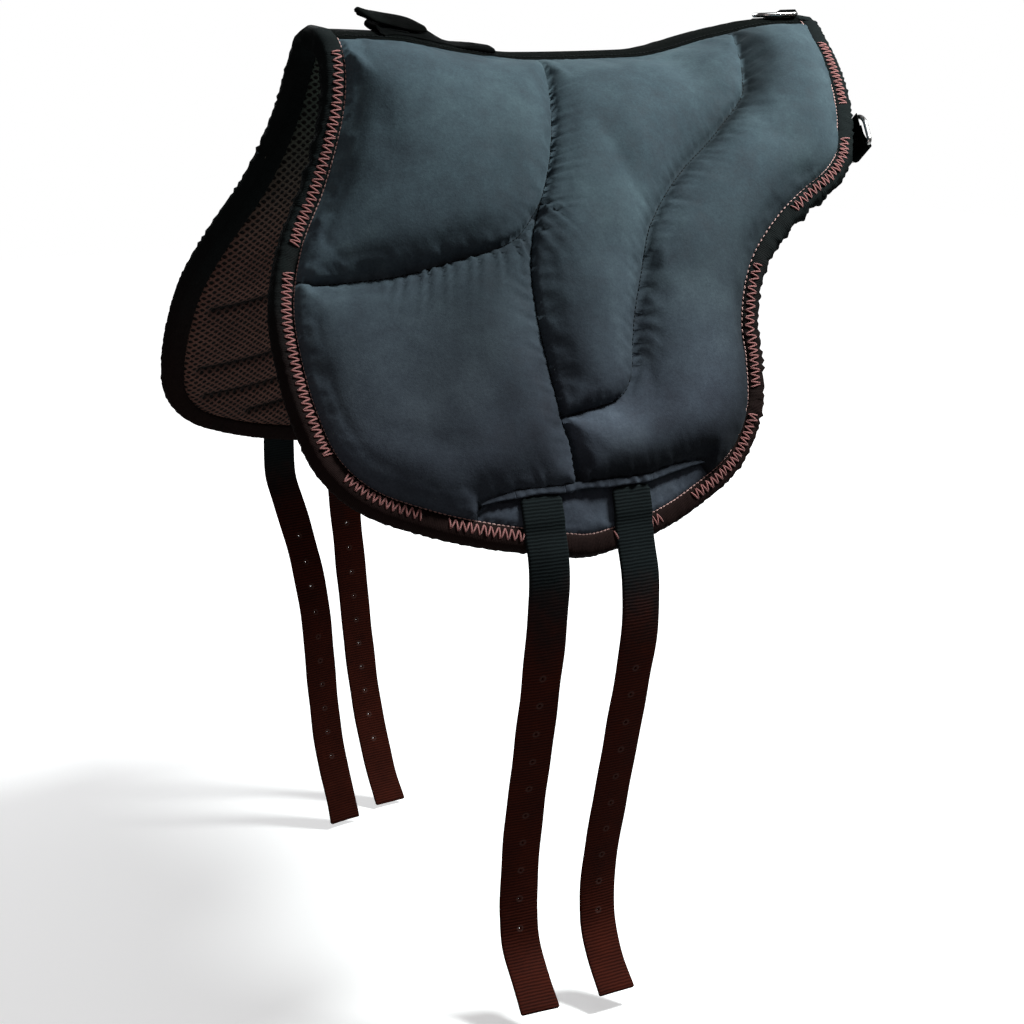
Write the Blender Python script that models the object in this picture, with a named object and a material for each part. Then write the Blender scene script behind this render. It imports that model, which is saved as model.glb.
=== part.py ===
"""Bareback pad: a quilted, mesh-lined saddle pad with four punched billets, a grab strap and three rings.

Metres, +Z up. X runs along the spine with the horse's head at -X, and the horse's left, the near side, is
at -Y. The origin is at the underside of the spine, at the lowest part of the seat.

Each side is laid out flat first. A flat point is (along, down): the place along the spine, and the distance
down the side from the spine. The drape then carries flat points to space, at a lift off the core's outer face.
"""
import math

import bmesh
import bpy
import numpy as np
from mathutils.geometry import delaunay_2d_cdt

# Overall sizes
PAD_LENGTH = 0.656
PAD_DROP = 0.519
SPINE_RISE = 0.034
CLEARANCE = 0.0003

# Layers of a side, from the outside in
COVER_THICK = 0.0016
CORE_THICK = 0.008
LINING_THICK = 0.004
CHANNEL_BULGE = 0.005
CHANNEL_SHOULDER = 0.022

# Quilting
FRONT_UPPER_CROWN = 0.022
FRONT_LOWER_CROWN = 0.020
CENTRE_CROWN = 0.017
REAR_CROWN = 0.021
STRIP_CROWN = 0.004
CROWN_SHOULDER = 0.040
STRIP_SHOULDER = 0.013
TOP_SHOULDER = 0.065
FILL_INSET = 0.004
FILL_EDGE = 0.0014

# Binding and spine tape
BINDING_WIDTH = 0.019
BINDING_THICK = 0.002
TAPE_HALF = 0.026

# Mesh spacing on the sides
SEAM_STEP = 0.024
SEAM_VALLEY = 0.008
SEAM_END = 0.014
POINT_APART = 0.0065
LINE_APART = 0.005
QUILT_STEP = 0.035
LINING_STEP = 0.042
WITHERS_STEP = 0.022
GRID_APART = 0.017

# Billets
BILLET_WIDTH = 0.038
BILLET_THICK = 0.003
BILLET_LENGTH = 0.515
BILLET_BELOW_SEAM = 0.0045
BILLET_CLEAR = 0.0008
HOLE_PITCH = 0.030
HOLE_RADIUS = 0.0021
END_MARGIN = 0.065

# Rings and their tabs
RING_WIRE = 0.0045
RING_SPAN = 0.0335
RING_REACH = 0.037
RING_CORNER = 0.003
TAB_WIDTH = 0.025
TAB_THICK = 0.0018
TAB_EYE_CLEAR = 0.0005
TAB_EYE = 0.012
TAB_LOOP = 0.022
TAB_PLATE = 0.036
TAB_PLATE_THICK = 0.0012
SPINE_RING_SETBACK = 0.0075
SIDE_RING_DOWN = 0.205
SIDE_TAB_LEAN = 12.0

# Grab strap
STRAP_WIDTH = 0.026
STRAP_THICK = 0.0025
STRAP_RISE = 0.0066
STRAP_START = 0.146
STRAP_SPAN = 0.116
TONGUE_WIDTH = 0.027
TONGUE_THICK = 0.0025
TONGUE_APART = 0.0005

# Counts
OUTLINE_SAMPLES = 48
TOP_COLUMNS = 21
HOLE_COUNT = 10
HOLE_SIDES = 8
PLAIN_SEGMENTS = 4
RING_SIDES = 8
RING_ARC_STEPS = 10
DRAPE_STATIONS = 121
DRAPE_STEPS = 241
CURVE_STEPS = 8
LOWER_LEG = 2
ARCH_SAMPLES = 12
BOTTOM_SAMPLES = 22
OUTER_WALL = (6, 7)
SHARPEST_SHARE = 0.4
FILL_RIM_SHARE = 0.7
DRAPE_REACH_SHARE = 1.2
JOINING_SHARE = 0.25
TRIANGLE_ROW_SHARE = math.sqrt(3) / 2
INSET_TIMES = (1, 1.5, 2, 2.5)

# Slope of the side, in degrees from level, at shares of the drop and at three stations along the spine
SECTION_SHARES = (0, 0.04, 0.08, 0.155, 0.27, 0.42, 0.62, 1)
STATION_SHARES = (-0.457, 0, 0.457)
STATION_SLOPES = (
    (0, 29, 61, 83, 73, 58, 56, 57),
    (0, 20, 30, 37, 45, 57, 69, 77),
    (0, 18, 26, 33, 43, 55, 67, 75),
)

# Height of the spine above the seat, in shares of the rise
SPINE_PLACE_SHARES = (-0.335, -0.22, -0.10, 0, 0.18, 0.33, 0.43, 0.535)
SPINE_HEIGHT_SHARES = (0.62, 0.56, 0.20, 0, 0.06, 0.62, 0.93, 1)

# Outer edge of a side, as (share of the length, share of the drop), from the front arch round to the rear
OUTLINE_SHARES = (
    (-0.323, 0), (-0.322, 0.058), (-0.326, 0.119), (-0.341, 0.195), (-0.375, 0.295), (-0.422, 0.399),
    (-0.454, 0.510), (-0.463, 0.620), (-0.460, 0.720), (-0.445, 0.803), (-0.405, 0.870), (-0.338, 0.918),
    (-0.236, 0.967), (-0.165, 0.990), (-0.100, 1), (-0.008, 0.979), (0.066, 0.945), (0.140, 0.892),
    (0.186, 0.805), (0.199, 0.715), (0.201, 0.660), (0.215, 0.603), (0.239, 0.556), (0.282, 0.516),
    (0.331, 0.488), (0.378, 0.465), (0.413, 0.432), (0.436, 0.380), (0.462, 0.300), (0.485, 0.206),
    (0.503, 0.125), (0.522, 0.058), (0.535, 0),
)

# Quilting seams, in the same shares
KNEE_SEAM_SHARES = (
    (-0.434, 0.480), (-0.349, 0.484), (-0.282, 0.487), (-0.229, 0.482), (-0.172, 0.474), (-0.133, 0.455),
    (-0.102, 0.416), (-0.084, 0.387),
)
MIDDLE_SEAM_SHARES = (
    (0.012, 0.052), (0.006, 0.112), (-0.014, 0.189), (-0.037, 0.264), (-0.063, 0.337), (-0.084, 0.387),
    (-0.104, 0.435), (-0.119, 0.484), (-0.128, 0.540), (-0.131, 0.607), (-0.130, 0.674), (-0.127, 0.732),
    (-0.125, 0.776), (-0.120, 0.829), (-0.120, 0.884),
)
REAR_SEAM_SHARES = (
    (0.362, 0.052), (0.347, 0.087), (0.325, 0.154), (0.308, 0.200), (0.288, 0.237), (0.220, 0.293),
    (0.151, 0.349), (0.099, 0.405), (0.064, 0.455), (0.047, 0.493), (0.029, 0.543), (0.009, 0.601),
    (-0.003, 0.651), (-0.012, 0.701), (-0.027, 0.734), (-0.047, 0.750), (-0.070, 0.757), (-0.125, 0.767),
)
LOWER_SEAM_SHARES = (
    (-0.370, 0.902), (-0.308, 0.899), (-0.253, 0.890), (-0.204, 0.886), (-0.120, 0.884), (-0.026, 0.884),
    (0.027, 0.873), (0.073, 0.869), (0.165, 0.872),
)
WITHERS_ROW_SHARES = (0.102, 0.138, 0.178, 0.222)
WITHERS_REAR_SHARE = -0.08
CHANNEL_SHARES = (0.575, 0.725, 0.800, 0.862)

# Billets: the side, the place along the spine as a share of the length, and the lean to the rear as a share of
# the hanging length
BILLET_SIDES = {"near_front": -1, "near_rear": -1, "far_front": 1, "far_rear": 1}
BILLET_PLACE_SHARES = {"near_front": -0.176, "near_rear": -0.045, "far_front": -0.211, "far_rear": -0.100}
BILLET_LEAN_SHARES = {"near_front": 0, "near_rear": 0, "far_front": 0.105, "far_rear": 0.105}
# The set of each billet: shares of its hanging length, and the angles out from plumb there, in degrees
BILLET_RUN_SHARES = {
    "near_front": (0, 0.10, 0.25, 0.50, 0.66, 0.78, 0.86, 0.90, 1),
    "near_rear": (0, 0.10, 0.25, 0.50, 0.66, 0.76, 0.86, 0.92, 1),
    "far_front": (0, 0.08, 0.16, 0.28, 0.40, 0.55, 0.75, 0.90, 1),
    "far_rear": (0, 0.10, 0.25, 0.45, 0.60, 0.75, 0.88, 1),
}
BILLET_ANGLES = {
    "near_front": (12, -8, -13, -15, -9, 0, 20, 45, 48),
    "near_rear": (22, 2, -14, -15, -14, -5, 12, 36, 44),
    "far_front": (20, 6, -22, -16, -5, 5, 0, -12, -4),
    "far_rear": (14, 5, 3, 3, 1, -7, -14, -28),
}
# Where a billet is led over the lower strip, as shares of the way from the binding up to its root
BILLET_STOP_SHARES = (0.65, 0.25)

# Grab strap, from its rear foot over the hump and back under to its front foot: place as a share of the span
# from the front fold, height as a share of the rise, and sideways tilt in degrees
STRAP_SHARES = (
    (1, 0, 0), (0.90, 0, 0), (0.80, 0, 2), (0.70, 0.08, 7), (0.62, 0.28, 13), (0.54, 0.56, 20),
    (0.45, 0.86, 26), (0.36, 1.04, 28), (0.24, 1.08, 28), (0.12, 1.06, 25), (0.03, 0.94, 18),
    (0, 0.58, 6), (0.05, 0.14, 2), (0.13, 0, 0), (0.28, 0, 0),
)
# The tongue on it: the same, and its width as a share of the full width
TONGUE_SHARES = (
    (0.46, 0.88, 26, 0.40), (0.36, 1.08, 28, 0.85), (0.26, 1.11, 28, 1), (0.12, 1.18, 25, 1),
    (0, 1.42, 24, 0.90), (-0.07, 1.68, 24, 0.62), (-0.147, 2.04, 24, 0.24),
)

SURFACES = {
    "cover": ((0.055, 0.080, 0.105), 0.82, 0),
    "filling": ((0.72, 0.72, 0.68), 0.9, 0),
    "core": ((0.30, 0.31, 0.30), 0.9, 0),
    "lining": ((0.065, 0.052, 0.045), 0.85, 0),
    "binding": ((0.030, 0.034, 0.034), 0.85, 0),
    "webbing": ((0.018, 0.020, 0.020), 0.7, 0),
    "ring": ((0.75, 0.75, 0.74), 0.22, 1),
}


def smooth_value(knots, values, at):
    """Monotone cubic through the knots, read at the given places."""
    knots = np.asarray(knots, float)
    values = np.asarray(values, float)
    step = np.diff(knots)
    rise = np.diff(values) / step
    slope = np.zeros(len(knots))
    for i in range(1, len(knots) - 1):
        if rise[i - 1] * rise[i] > 0:
            before = 2 * step[i] + step[i - 1]
            after = step[i] + 2 * step[i - 1]
            slope[i] = (before + after) / (before / rise[i - 1] + after / rise[i])
    slope[0] = rise[0]
    slope[-1] = rise[-1]
    at = np.clip(np.asarray(at, float), knots[0], knots[-1])
    k = np.clip(np.searchsorted(knots, at, side="right") - 1, 0, len(step) - 1)
    t = (at - knots[k]) / step[k]
    near = (1 + 2 * t) * (1 - t) ** 2 * values[k] + t * (1 - t) ** 2 * step[k] * slope[k]
    far = t * t * (3 - 2 * t) * values[k + 1] + t * t * (t - 1) * step[k] * slope[k + 1]
    return near + far


def smooth_path(points):
    """Catmull-Rom curve through a table of points."""
    points = np.asarray(points, float)
    ends = np.vstack([2 * points[0] - points[1], points, 2 * points[-1] - points[-2]])
    curve = []
    for i in range(1, len(ends) - 2):
        a, b, c, d = ends[i - 1:i + 3]
        for t in np.arange(CURVE_STEPS) / CURVE_STEPS:
            bend = 2 * a - 5 * b + 4 * c - d
            twist = 3 * b - a - 3 * c + d
            curve.append((2 * b + (c - a) * t + bend * t * t + twist * t ** 3) / 2)
    curve.append(points[-1])
    return np.array(curve)


def lengths_along(path):
    return np.concatenate([[0], np.cumsum(np.linalg.norm(np.diff(path, axis=0), axis=1))])


def resample(path, count):
    """The given number of points, evenly spaced along a path."""
    run = lengths_along(path)
    marks = np.linspace(0, run[-1], count)
    return np.stack([np.interp(marks, run, path[:, k]) for k in range(path.shape[1])], axis=1)


def from_shares(table):
    return np.array(table) * (PAD_LENGTH, PAD_DROP)


def seam_line(table):
    path = smooth_path(from_shares(table))
    return resample(path, 1 + round(lengths_along(path)[-1] / SEAM_STEP))


class Drape:
    """The core's outer face in space, built by adding up the side's slope from the spine down."""

    def __init__(self):
        self.along = np.linspace(-1, 1, DRAPE_STATIONS) * PAD_LENGTH
        self.down = np.linspace(0, DRAPE_REACH_SHARE, DRAPE_STEPS) * PAD_DROP
        at_stations = [smooth_value(SECTION_SHARES, row, self.down / PAD_DROP) for row in STATION_SLOPES]
        stations = np.array(STATION_SHARES)
        self.out = []
        self.fall = []
        for share in np.clip(self.along / PAD_LENGTH, stations[0], stations[-1]):
            k = 0 if share < stations[1] else 1
            t = (share - stations[k]) / (stations[k + 1] - stations[k])
            blend = t * t * (3 - 2 * t)
            slope = np.radians(at_stations[k] * (1 - blend) + at_stations[k + 1] * blend)
            self.out.append(self.add_up(np.cos(slope)))
            self.fall.append(self.add_up(np.sin(slope)))
        self.out = np.array(self.out)
        self.fall = np.array(self.fall)
        heights = smooth_value(SPINE_PLACE_SHARES, SPINE_HEIGHT_SHARES, self.along / PAD_LENGTH)
        self.spine = heights * SPINE_RISE + CORE_THICK + CLEARANCE + LINING_THICK

    def add_up(self, rate):
        steps = np.diff(self.down) * (rate[1:] + rate[:-1]) / 2
        return np.concatenate([[0], np.cumsum(steps)])

    def base(self, flat):
        """Points on the core's outer face. A negative distance down is on the far side of the spine."""
        flat = np.atleast_2d(flat)
        i = np.clip(flat[:, 0] - self.along[0], 0, None) / (self.along[1] - self.along[0])
        j = np.abs(flat[:, 1]) / self.down[1]
        i0 = np.clip(i.astype(int), 0, DRAPE_STATIONS - 2)
        j0 = np.clip(j.astype(int), 0, DRAPE_STEPS - 2)
        a = i - i0
        b = j - j0

        def read(table):
            front = table[i0, j0] * (1 - b) + table[i0, j0 + 1] * b
            rear = table[i0 + 1, j0] * (1 - b) + table[i0 + 1, j0 + 1] * b
            return front * (1 - a) + rear * a

        height = np.interp(flat[:, 0], self.along, self.spine) - read(self.fall)
        return np.stack([flat[:, 0], -np.sign(flat[:, 1]) * read(self.out), height], axis=1)

    def normal(self, flat):
        flat = np.atleast_2d(flat)
        probe = self.down[1] * 2
        run = self.base(flat + (probe, 0)) - self.base(flat - (probe, 0))
        dip = self.base(flat + (0, probe)) - self.base(flat - (0, probe))
        out = np.cross(dip, run)
        return out / np.linalg.norm(out, axis=1)[:, None]

    def lift(self, flat, height):
        """Points at a height off the core's outer face."""
        flat = np.atleast_2d(flat)
        height = np.broadcast_to(height, len(flat))
        return self.base(flat) + self.normal(flat) * height[:, None]


DRAPE = Drape()

# Heights off the core's outer face
SEAM_TOP = CLEARANCE + COVER_THICK
LEG_TOP = SEAM_TOP + CLEARANCE
LINING_TOP = -CORE_THICK - CLEARANCE
LINING_FACE = LINING_TOP - LINING_THICK
LEG_BOTTOM = LINING_FACE - CLEARANCE


def surface(name):
    colour, roughness, metallic = SURFACES[name]
    made = bpy.data.materials.get(name)
    if made is None:
        made = bpy.data.materials.new(name)
        made.use_nodes = True
        shader = made.node_tree.nodes["Principled BSDF"]
        shader.inputs["Base Color"].default_value = (*colour, 1)
        shader.inputs["Roughness"].default_value = roughness
        shader.inputs["Metallic"].default_value = metallic
    return made


def add_object(name, points, faces, finish, origin=None, smooth=False):
    """One closed body, with its faces turned outwards and its origin on its joint where it has one."""
    origin = np.zeros(3) if origin is None else np.asarray(origin)
    mesh = bpy.data.meshes.new(name)
    corners = [tuple(p) for p in np.asarray(points) - origin]
    mesh.from_pydata(corners, [], [tuple(int(i) for i in face) for face in faces])
    work = bmesh.new()
    work.from_mesh(mesh)
    bmesh.ops.triangulate(work, faces=work.faces[:])
    bmesh.ops.recalc_face_normals(work, faces=work.faces[:])
    work.to_mesh(mesh)
    work.free()
    if smooth:
        mesh.shade_smooth()
    mesh.materials.append(surface(finish))
    made = bpy.data.objects.new(name, mesh)
    made.location = origin
    bpy.context.scene.collection.objects.link(made)
    return made


def add_side(name, side, points, faces, finish, origin=None, smooth=False):
    """A piece of the near side, or its mirror image on the far side."""
    points = np.array(points)
    if side > 0:
        points = points * (1, -1, 1)
        if origin is not None:
            origin = np.asarray(origin) * (1, -1, 1)
    return add_object(name, points, faces, finish, origin, smooth)


def distance_to_path(points, path):
    """Least distance of each flat point to a path."""
    points = np.atleast_2d(points)
    start = path[:-1]
    run = path[1:] - start
    square = np.maximum((run ** 2).sum(axis=1), np.finfo(float).tiny)
    t = ((points[:, None] - start) * run).sum(axis=2) / square
    near = start + np.clip(t, 0, 1)[:, :, None] * run
    return np.linalg.norm(points[:, None] - near, axis=2).min(axis=1)


def is_inside(point, loop):
    inside = False
    for (ax, ay), (bx, by) in zip(loop, np.roll(loop, -1, axis=0)):
        if (ay > point[1]) != (by > point[1]) and point[0] < ax + (bx - ax) * (point[1] - ay) / (by - ay):
            inside = not inside
    return inside


def outline_samples():
    """Places round the outer edge, and the flat direction inwards at each.

    The first and last three stand on the spine tape, at its middle, half way out and at its edge.
    """
    path = smooth_path(from_shares(OUTLINE_SHARES))
    middle = len(path) // 2
    ends = []
    for part in (path[:middle], path[:middle:-1]):
        downs = (CLEARANCE / 2, TAPE_HALF / 2, TAPE_HALF)
        rows = [(np.interp(down, part[:, 1], part[:, 0]), down) for down in downs]
        ends.append(np.array(rows))
    front, rear = ends
    below = path[path[:, 1] > TAPE_HALF]
    body = resample(np.vstack([front[-1], below, rear[-1]]), OUTLINE_SAMPLES)
    samples = np.vstack([front[:-1], body, rear[-2::-1]])
    run = np.gradient(samples, axis=0)
    inward = np.stack([run[:, 1], -run[:, 0]], axis=1)
    inward[:3] = (1, 0)
    inward[-3:] = (-1, 0)
    return samples, inward / np.linalg.norm(inward, axis=1)[:, None]


SAMPLES, INWARD = outline_samples()
EDGE_INSET = BINDING_THICK + CLEARANCE


def ring(inset, top=None):
    """The outline moved inwards. With a top, only the part below the tape, starting at that distance down."""
    moved = SAMPLES + INWARD * inset
    if top is None:
        return moved
    moved = moved[2:-2].copy()
    moved[0, 1] = top
    moved[-1, 1] = top
    return moved


PANEL_TOP = TAPE_HALF + CLEARANCE / 2
PANEL_EDGE = ring(EDGE_INSET, PANEL_TOP)
PANEL_INNER = ring(BINDING_WIDTH, PANEL_TOP)
COLUMN_SHARES = np.linspace(0, 1, TOP_COLUMNS + 1)[1:-1]
TOP_ROW = PANEL_INNER[0] + (PANEL_INNER[-1] - PANEL_INNER[0]) * COLUMN_SHARES[:, None]
FIELD = np.vstack([PANEL_INNER, TOP_ROW[::-1]])
FIELD_LOOP = np.vstack([FIELD, FIELD[:1]])


def inside_field(path):
    """The part of a line that lies well inside the binding."""
    kept = [p for p in path if is_inside(p, FIELD) and distance_to_path(p, FIELD_LOOP)[0] > SEAM_END]
    return np.array(kept)


def run_on(path, targets, at_start=False):
    """The path, run on at one end to the nearest of the target points."""
    end = path[0] if at_start else path[-1]
    target = targets[np.linalg.norm(targets - end, axis=1).argmin()]
    return np.vstack([[target], path] if at_start else [path, [target]])


def quilting_seams():
    tables = (KNEE_SEAM_SHARES, MIDDLE_SEAM_SHARES, REAR_SEAM_SHARES, LOWER_SEAM_SHARES)
    knee, middle, rear, lower = (inside_field(seam_line(table)) for table in tables)
    lower = run_on(run_on(lower, PANEL_INNER), PANEL_INNER, at_start=True)
    middle = run_on(run_on(middle, TOP_ROW, at_start=True)[:-1], lower)
    knee = run_on(run_on(knee, PANEL_INNER, at_start=True)[:-1], middle)
    rear = run_on(run_on(rear, TOP_ROW, at_start=True)[:-1], middle)
    return {"knee": knee, "middle": middle, "rear": rear, "lower": lower}


SEAMS = quilting_seams()
MEETING = np.linalg.norm(SEAMS["middle"] - SEAMS["rear"][-1], axis=1).argmin()
CENTRE_LOOP = np.vstack([SEAMS["rear"], SEAMS["middle"][:MEETING][::-1]])


def chamber_of(flat):
    """Name of the quilted chamber that holds a flat point."""
    along, down = flat
    knee, middle, lower = (SEAMS[name] for name in ("knee", "middle", "lower"))
    if down > np.interp(along, lower[:, 0], lower[:, 1]):
        return "lower_strip"
    if along < np.interp(down, middle[:, 1], middle[:, 0]):
        return "front_upper" if down < np.interp(along, knee[:, 0], knee[:, 1]) else "front_lower"
    return "centre" if is_inside(flat, CENTRE_LOOP) else "rear"


CROWNS = {
    "front_upper": (FRONT_UPPER_CROWN, CROWN_SHOULDER),
    "front_lower": (FRONT_LOWER_CROWN, CROWN_SHOULDER),
    "centre": (CENTRE_CROWN, CROWN_SHOULDER),
    "rear": (REAR_CROWN, CROWN_SHOULDER),
    "lower_strip": (STRIP_CROWN, STRIP_SHOULDER),
}


def shoulder(distance, width):
    """Share of the full crown at a distance from the nearest seam: a quarter circle, then level."""
    rest = 1 - np.clip(np.asarray(distance) / width, 0, 1)
    return np.sqrt(1 - rest ** 2)


def crown_heights(flat):
    """How far the quilting stands up at each flat point: nothing on a seam and outside the field.
    Beside the spine it rises slowly, so that the top seam stays in sight.
    """
    lines = [FIELD_LOOP, *SEAMS.values()]
    apart = np.min([distance_to_path(flat, line) for line in lines], axis=0)
    heights = np.zeros(len(flat))
    for i, point in enumerate(flat):
        if apart[i] > LINE_APART / 2 and is_inside(point, FIELD):
            height, width = CROWNS[chamber_of(point)]
            top_share = math.sin(min((point[1] - PANEL_TOP) / TOP_SHOULDER, 1) * math.pi / 2)
            heights[i] = height * min(shoulder(apart[i], width), top_share)
    return heights


def channel_heights(flat):
    """How far the lining's channels bulge towards the horse."""
    downs = [share * PAD_DROP for share in CHANNEL_SHARES]
    rows = [np.array([(-PAD_LENGTH, down), (PAD_LENGTH, down)]) for down in downs]
    apart = np.min([distance_to_path(flat, line) for line in [FIELD_LOOP, *rows]], axis=0)
    inside = np.array([is_inside(point, FIELD) for point in flat])
    return np.where(inside, CHANNEL_BULGE * shoulder(apart, CHANNEL_SHOULDER), 0)


def room_for(point, placed, apart):
    return np.linalg.norm(np.array(placed) - point, axis=1).min() > apart


def beside(path, step, closed=False):
    """Points a step to each side of a path's inner points."""
    run = np.gradient(path, axis=0)
    across = np.stack([run[:, 1], -run[:, 0]], axis=1)
    across /= np.linalg.norm(across, axis=1)[:, None]
    inner = slice(None) if closed else slice(1, -1)
    return np.vstack([path[inner] + across[inner] * step, path[inner] - across[inner] * step])


def withers_points():
    """Closer points over the withers, where the side bends most."""
    places = np.arange(FIELD[0, 0], WITHERS_REAR_SHARE * PAD_LENGTH, WITHERS_STEP)
    return [(along, share * PAD_DROP) for share in WITHERS_ROW_SHARES for along in places]


def grid_points(step):
    """A triangular grid of flat points over the whole side."""
    row_step = step * TRIANGLE_ROW_SHARE
    made = []
    for j in range(int(PAD_DROP / row_step) + 1):
        for i in range(int(PAD_LENGTH * 2 / step)):
            made.append((-PAD_LENGTH + (i + (j % 2) / 2) * step, PANEL_TOP + j * row_step))
    return made


def field_mesh(lines, near_points, step):
    """Triangles over one side. Returns flat points and faces; the outer edge comes first, then the top row."""
    points = list(FIELD)
    edges = []
    for line in lines:
        indices = []
        for point in line:
            gaps = np.linalg.norm(np.array(points) - point, axis=1)
            if gaps.min() < POINT_APART * JOINING_SHARE:
                indices.append(int(gaps.argmin()))
            else:
                indices.append(len(points))
                points.append(point)
        edges += list(zip(indices[:-1], indices[1:]))
    borders = [FIELD_LOOP, *lines]

    def add_free(candidates, apart):
        for point in candidates:
            clear = all(distance_to_path(point, line)[0] > LINE_APART for line in borders)
            if clear and room_for(point, points, apart) and is_inside(point, FIELD):
                points.append(np.array(point))

    add_free(near_points, POINT_APART)
    add_free(withers_points(), GRID_APART)
    add_free(grid_points(step), GRID_APART)
    flat, _, faces, sources, _, _ = delaunay_2d_cdt(
        [tuple(p) for p in points], edges, [list(range(len(FIELD)))], 1, CLEARANCE / 100)
    place = {source: i for i, group in enumerate(sources) for source in group}
    order = [place[i] for i in range(len(FIELD))]
    rest = [i for i in range(len(flat)) if i not in set(order)]
    new = {old: i for i, old in enumerate(order + rest)}
    shift = len(PANEL_EDGE)
    flat = np.vstack([PANEL_EDGE, [tuple(flat[i]) for i in order + rest]])
    faces = [tuple(new[i] + shift for i in face) for face in faces]
    for i in range(shift - 1):
        faces.append((i, i + 1, shift + i))
        faces.append((i + 1, shift + i + 1, shift + i))
    return flat, faces


def edge_loop():
    """Order of the points round a side's edge, as field_mesh numbers them."""
    edge = len(PANEL_EDGE)
    top_row = range(2 * edge, 2 * edge + len(TOP_ROW))
    return [*range(edge), 2 * edge - 1, *top_row, edge]


def closed_sheet(top_points, top_faces, low_points, low_faces, loop):
    """Two skins with the same numbering round their edge, joined by a wall."""
    shift = len(top_points)
    faces = [tuple(face) for face in top_faces]
    faces += [tuple(i + shift for i in reversed(face)) for face in low_faces]
    for a, b in zip(loop, loop[1:] + loop[:1]):
        faces.append((a, b, b + shift))
        faces.append((a, b + shift, a + shift))
    return np.vstack([top_points, low_points]), faces


def border_edges(faces):
    """Edges that one face alone uses, each with the flat point across that face."""
    owner = {}
    for face in faces:
        for k in range(3):
            owner.setdefault(frozenset((face[k], face[k - 1])), []).append((face[k - 1], face[k], face[k - 2]))
    return [found[0] for found in owner.values() if len(found) == 1]


def on_faces(flat, faces, values, targets):
    """The values at the flat points, carried over the faces to the targets."""
    corners = flat[np.array(faces)]
    first, second, third = corners[:, 0], corners[:, 1], corners[:, 2]

    def area(a, b, c):
        ab = b - a
        ac = c - a
        return ab[..., 0] * ac[..., 1] - ab[..., 1] * ac[..., 0]

    whole = area(first, second, third)
    found = []
    for target in targets:
        parts = (area(target, second, third), area(first, target, third), area(first, second, target))
        shares = (np.stack(parts) / whole).T
        best = shares.min(axis=1).argmax()
        found.append(shares[best] @ values[list(faces[best])])
    return np.array(found)


def drawn_in(flat, border, faces, heights):
    """Flat points with those of the border moved square to it, until the cover leaves room over them."""
    squares = {}
    for a, b, across in border:
        run = flat[b] - flat[a]
        square = np.array([-run[1], run[0]]) / np.linalg.norm(run)
        square *= np.sign(square @ (flat[across] - flat[a]))
        for i in (a, b):
            squares.setdefault(i, []).append(square)
    rim = sorted(squares)
    middles = np.array([np.mean(squares[i], axis=0) for i in rim])
    middles /= np.maximum((middles ** 2).sum(axis=1), SHARPEST_SHARE)[:, None]
    moved = flat.copy()
    for times in INSET_TIMES:
        tried = flat[rim] + middles * FILL_INSET * times
        short = on_faces(flat, faces, heights, moved[rim]) * FILL_RIM_SHARE < FILL_EDGE
        moved[rim] = np.where(short[:, None], tried, moved[rim])
    return moved, rim


SEAM_SIDES = np.vstack([
    *(beside(line, SEAM_VALLEY) for line in SEAMS.values()),
    beside(FIELD, SEAM_VALLEY, closed=True),
])
QUILT_FLAT, QUILT_FACES = field_mesh(list(SEAMS.values()), SEAM_SIDES, QUILT_STEP)


def channel_lines():
    lines = []
    for share in CHANNEL_SHARES:
        places = np.arange(-PAD_LENGTH, PAD_LENGTH, LINING_STEP)
        lines.append(inside_field([(along, share * PAD_DROP) for along in places]))
    return lines


CHANNELS = channel_lines()
CHANNEL_TOPS = np.vstack([beside(line, SEAM_VALLEY, closed=True) for line in CHANNELS])
LINING_FLAT, LINING_FACES = field_mesh(CHANNELS, CHANNEL_TOPS, LINING_STEP)


def add_layers(name, side):
    """Cover, core and lining of one side."""
    loop = edge_loop()
    crown = crown_heights(QUILT_FLAT)
    outer = DRAPE.lift(QUILT_FLAT, SEAM_TOP + crown)
    under = DRAPE.lift(QUILT_FLAT, CLEARANCE + crown)
    add_side(f"cover_{name}", side, *closed_sheet(outer, QUILT_FACES, under, QUILT_FACES, loop), "cover")
    core_top = DRAPE.lift(QUILT_FLAT, 0)
    core_low = DRAPE.lift(LINING_FLAT, -CORE_THICK)
    points, faces = closed_sheet(core_top, QUILT_FACES, core_low, LINING_FACES, loop)
    add_side(f"core_{name}", side, points, faces, "core")
    lining_top = DRAPE.lift(LINING_FLAT, LINING_TOP)
    lining_face = DRAPE.lift(LINING_FLAT, LINING_FACE - channel_heights(LINING_FLAT))
    points, faces = closed_sheet(lining_top, LINING_FACES, lining_face, LINING_FACES, loop)
    add_side(f"lining_{name}", side, points, faces, "lining")


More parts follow.
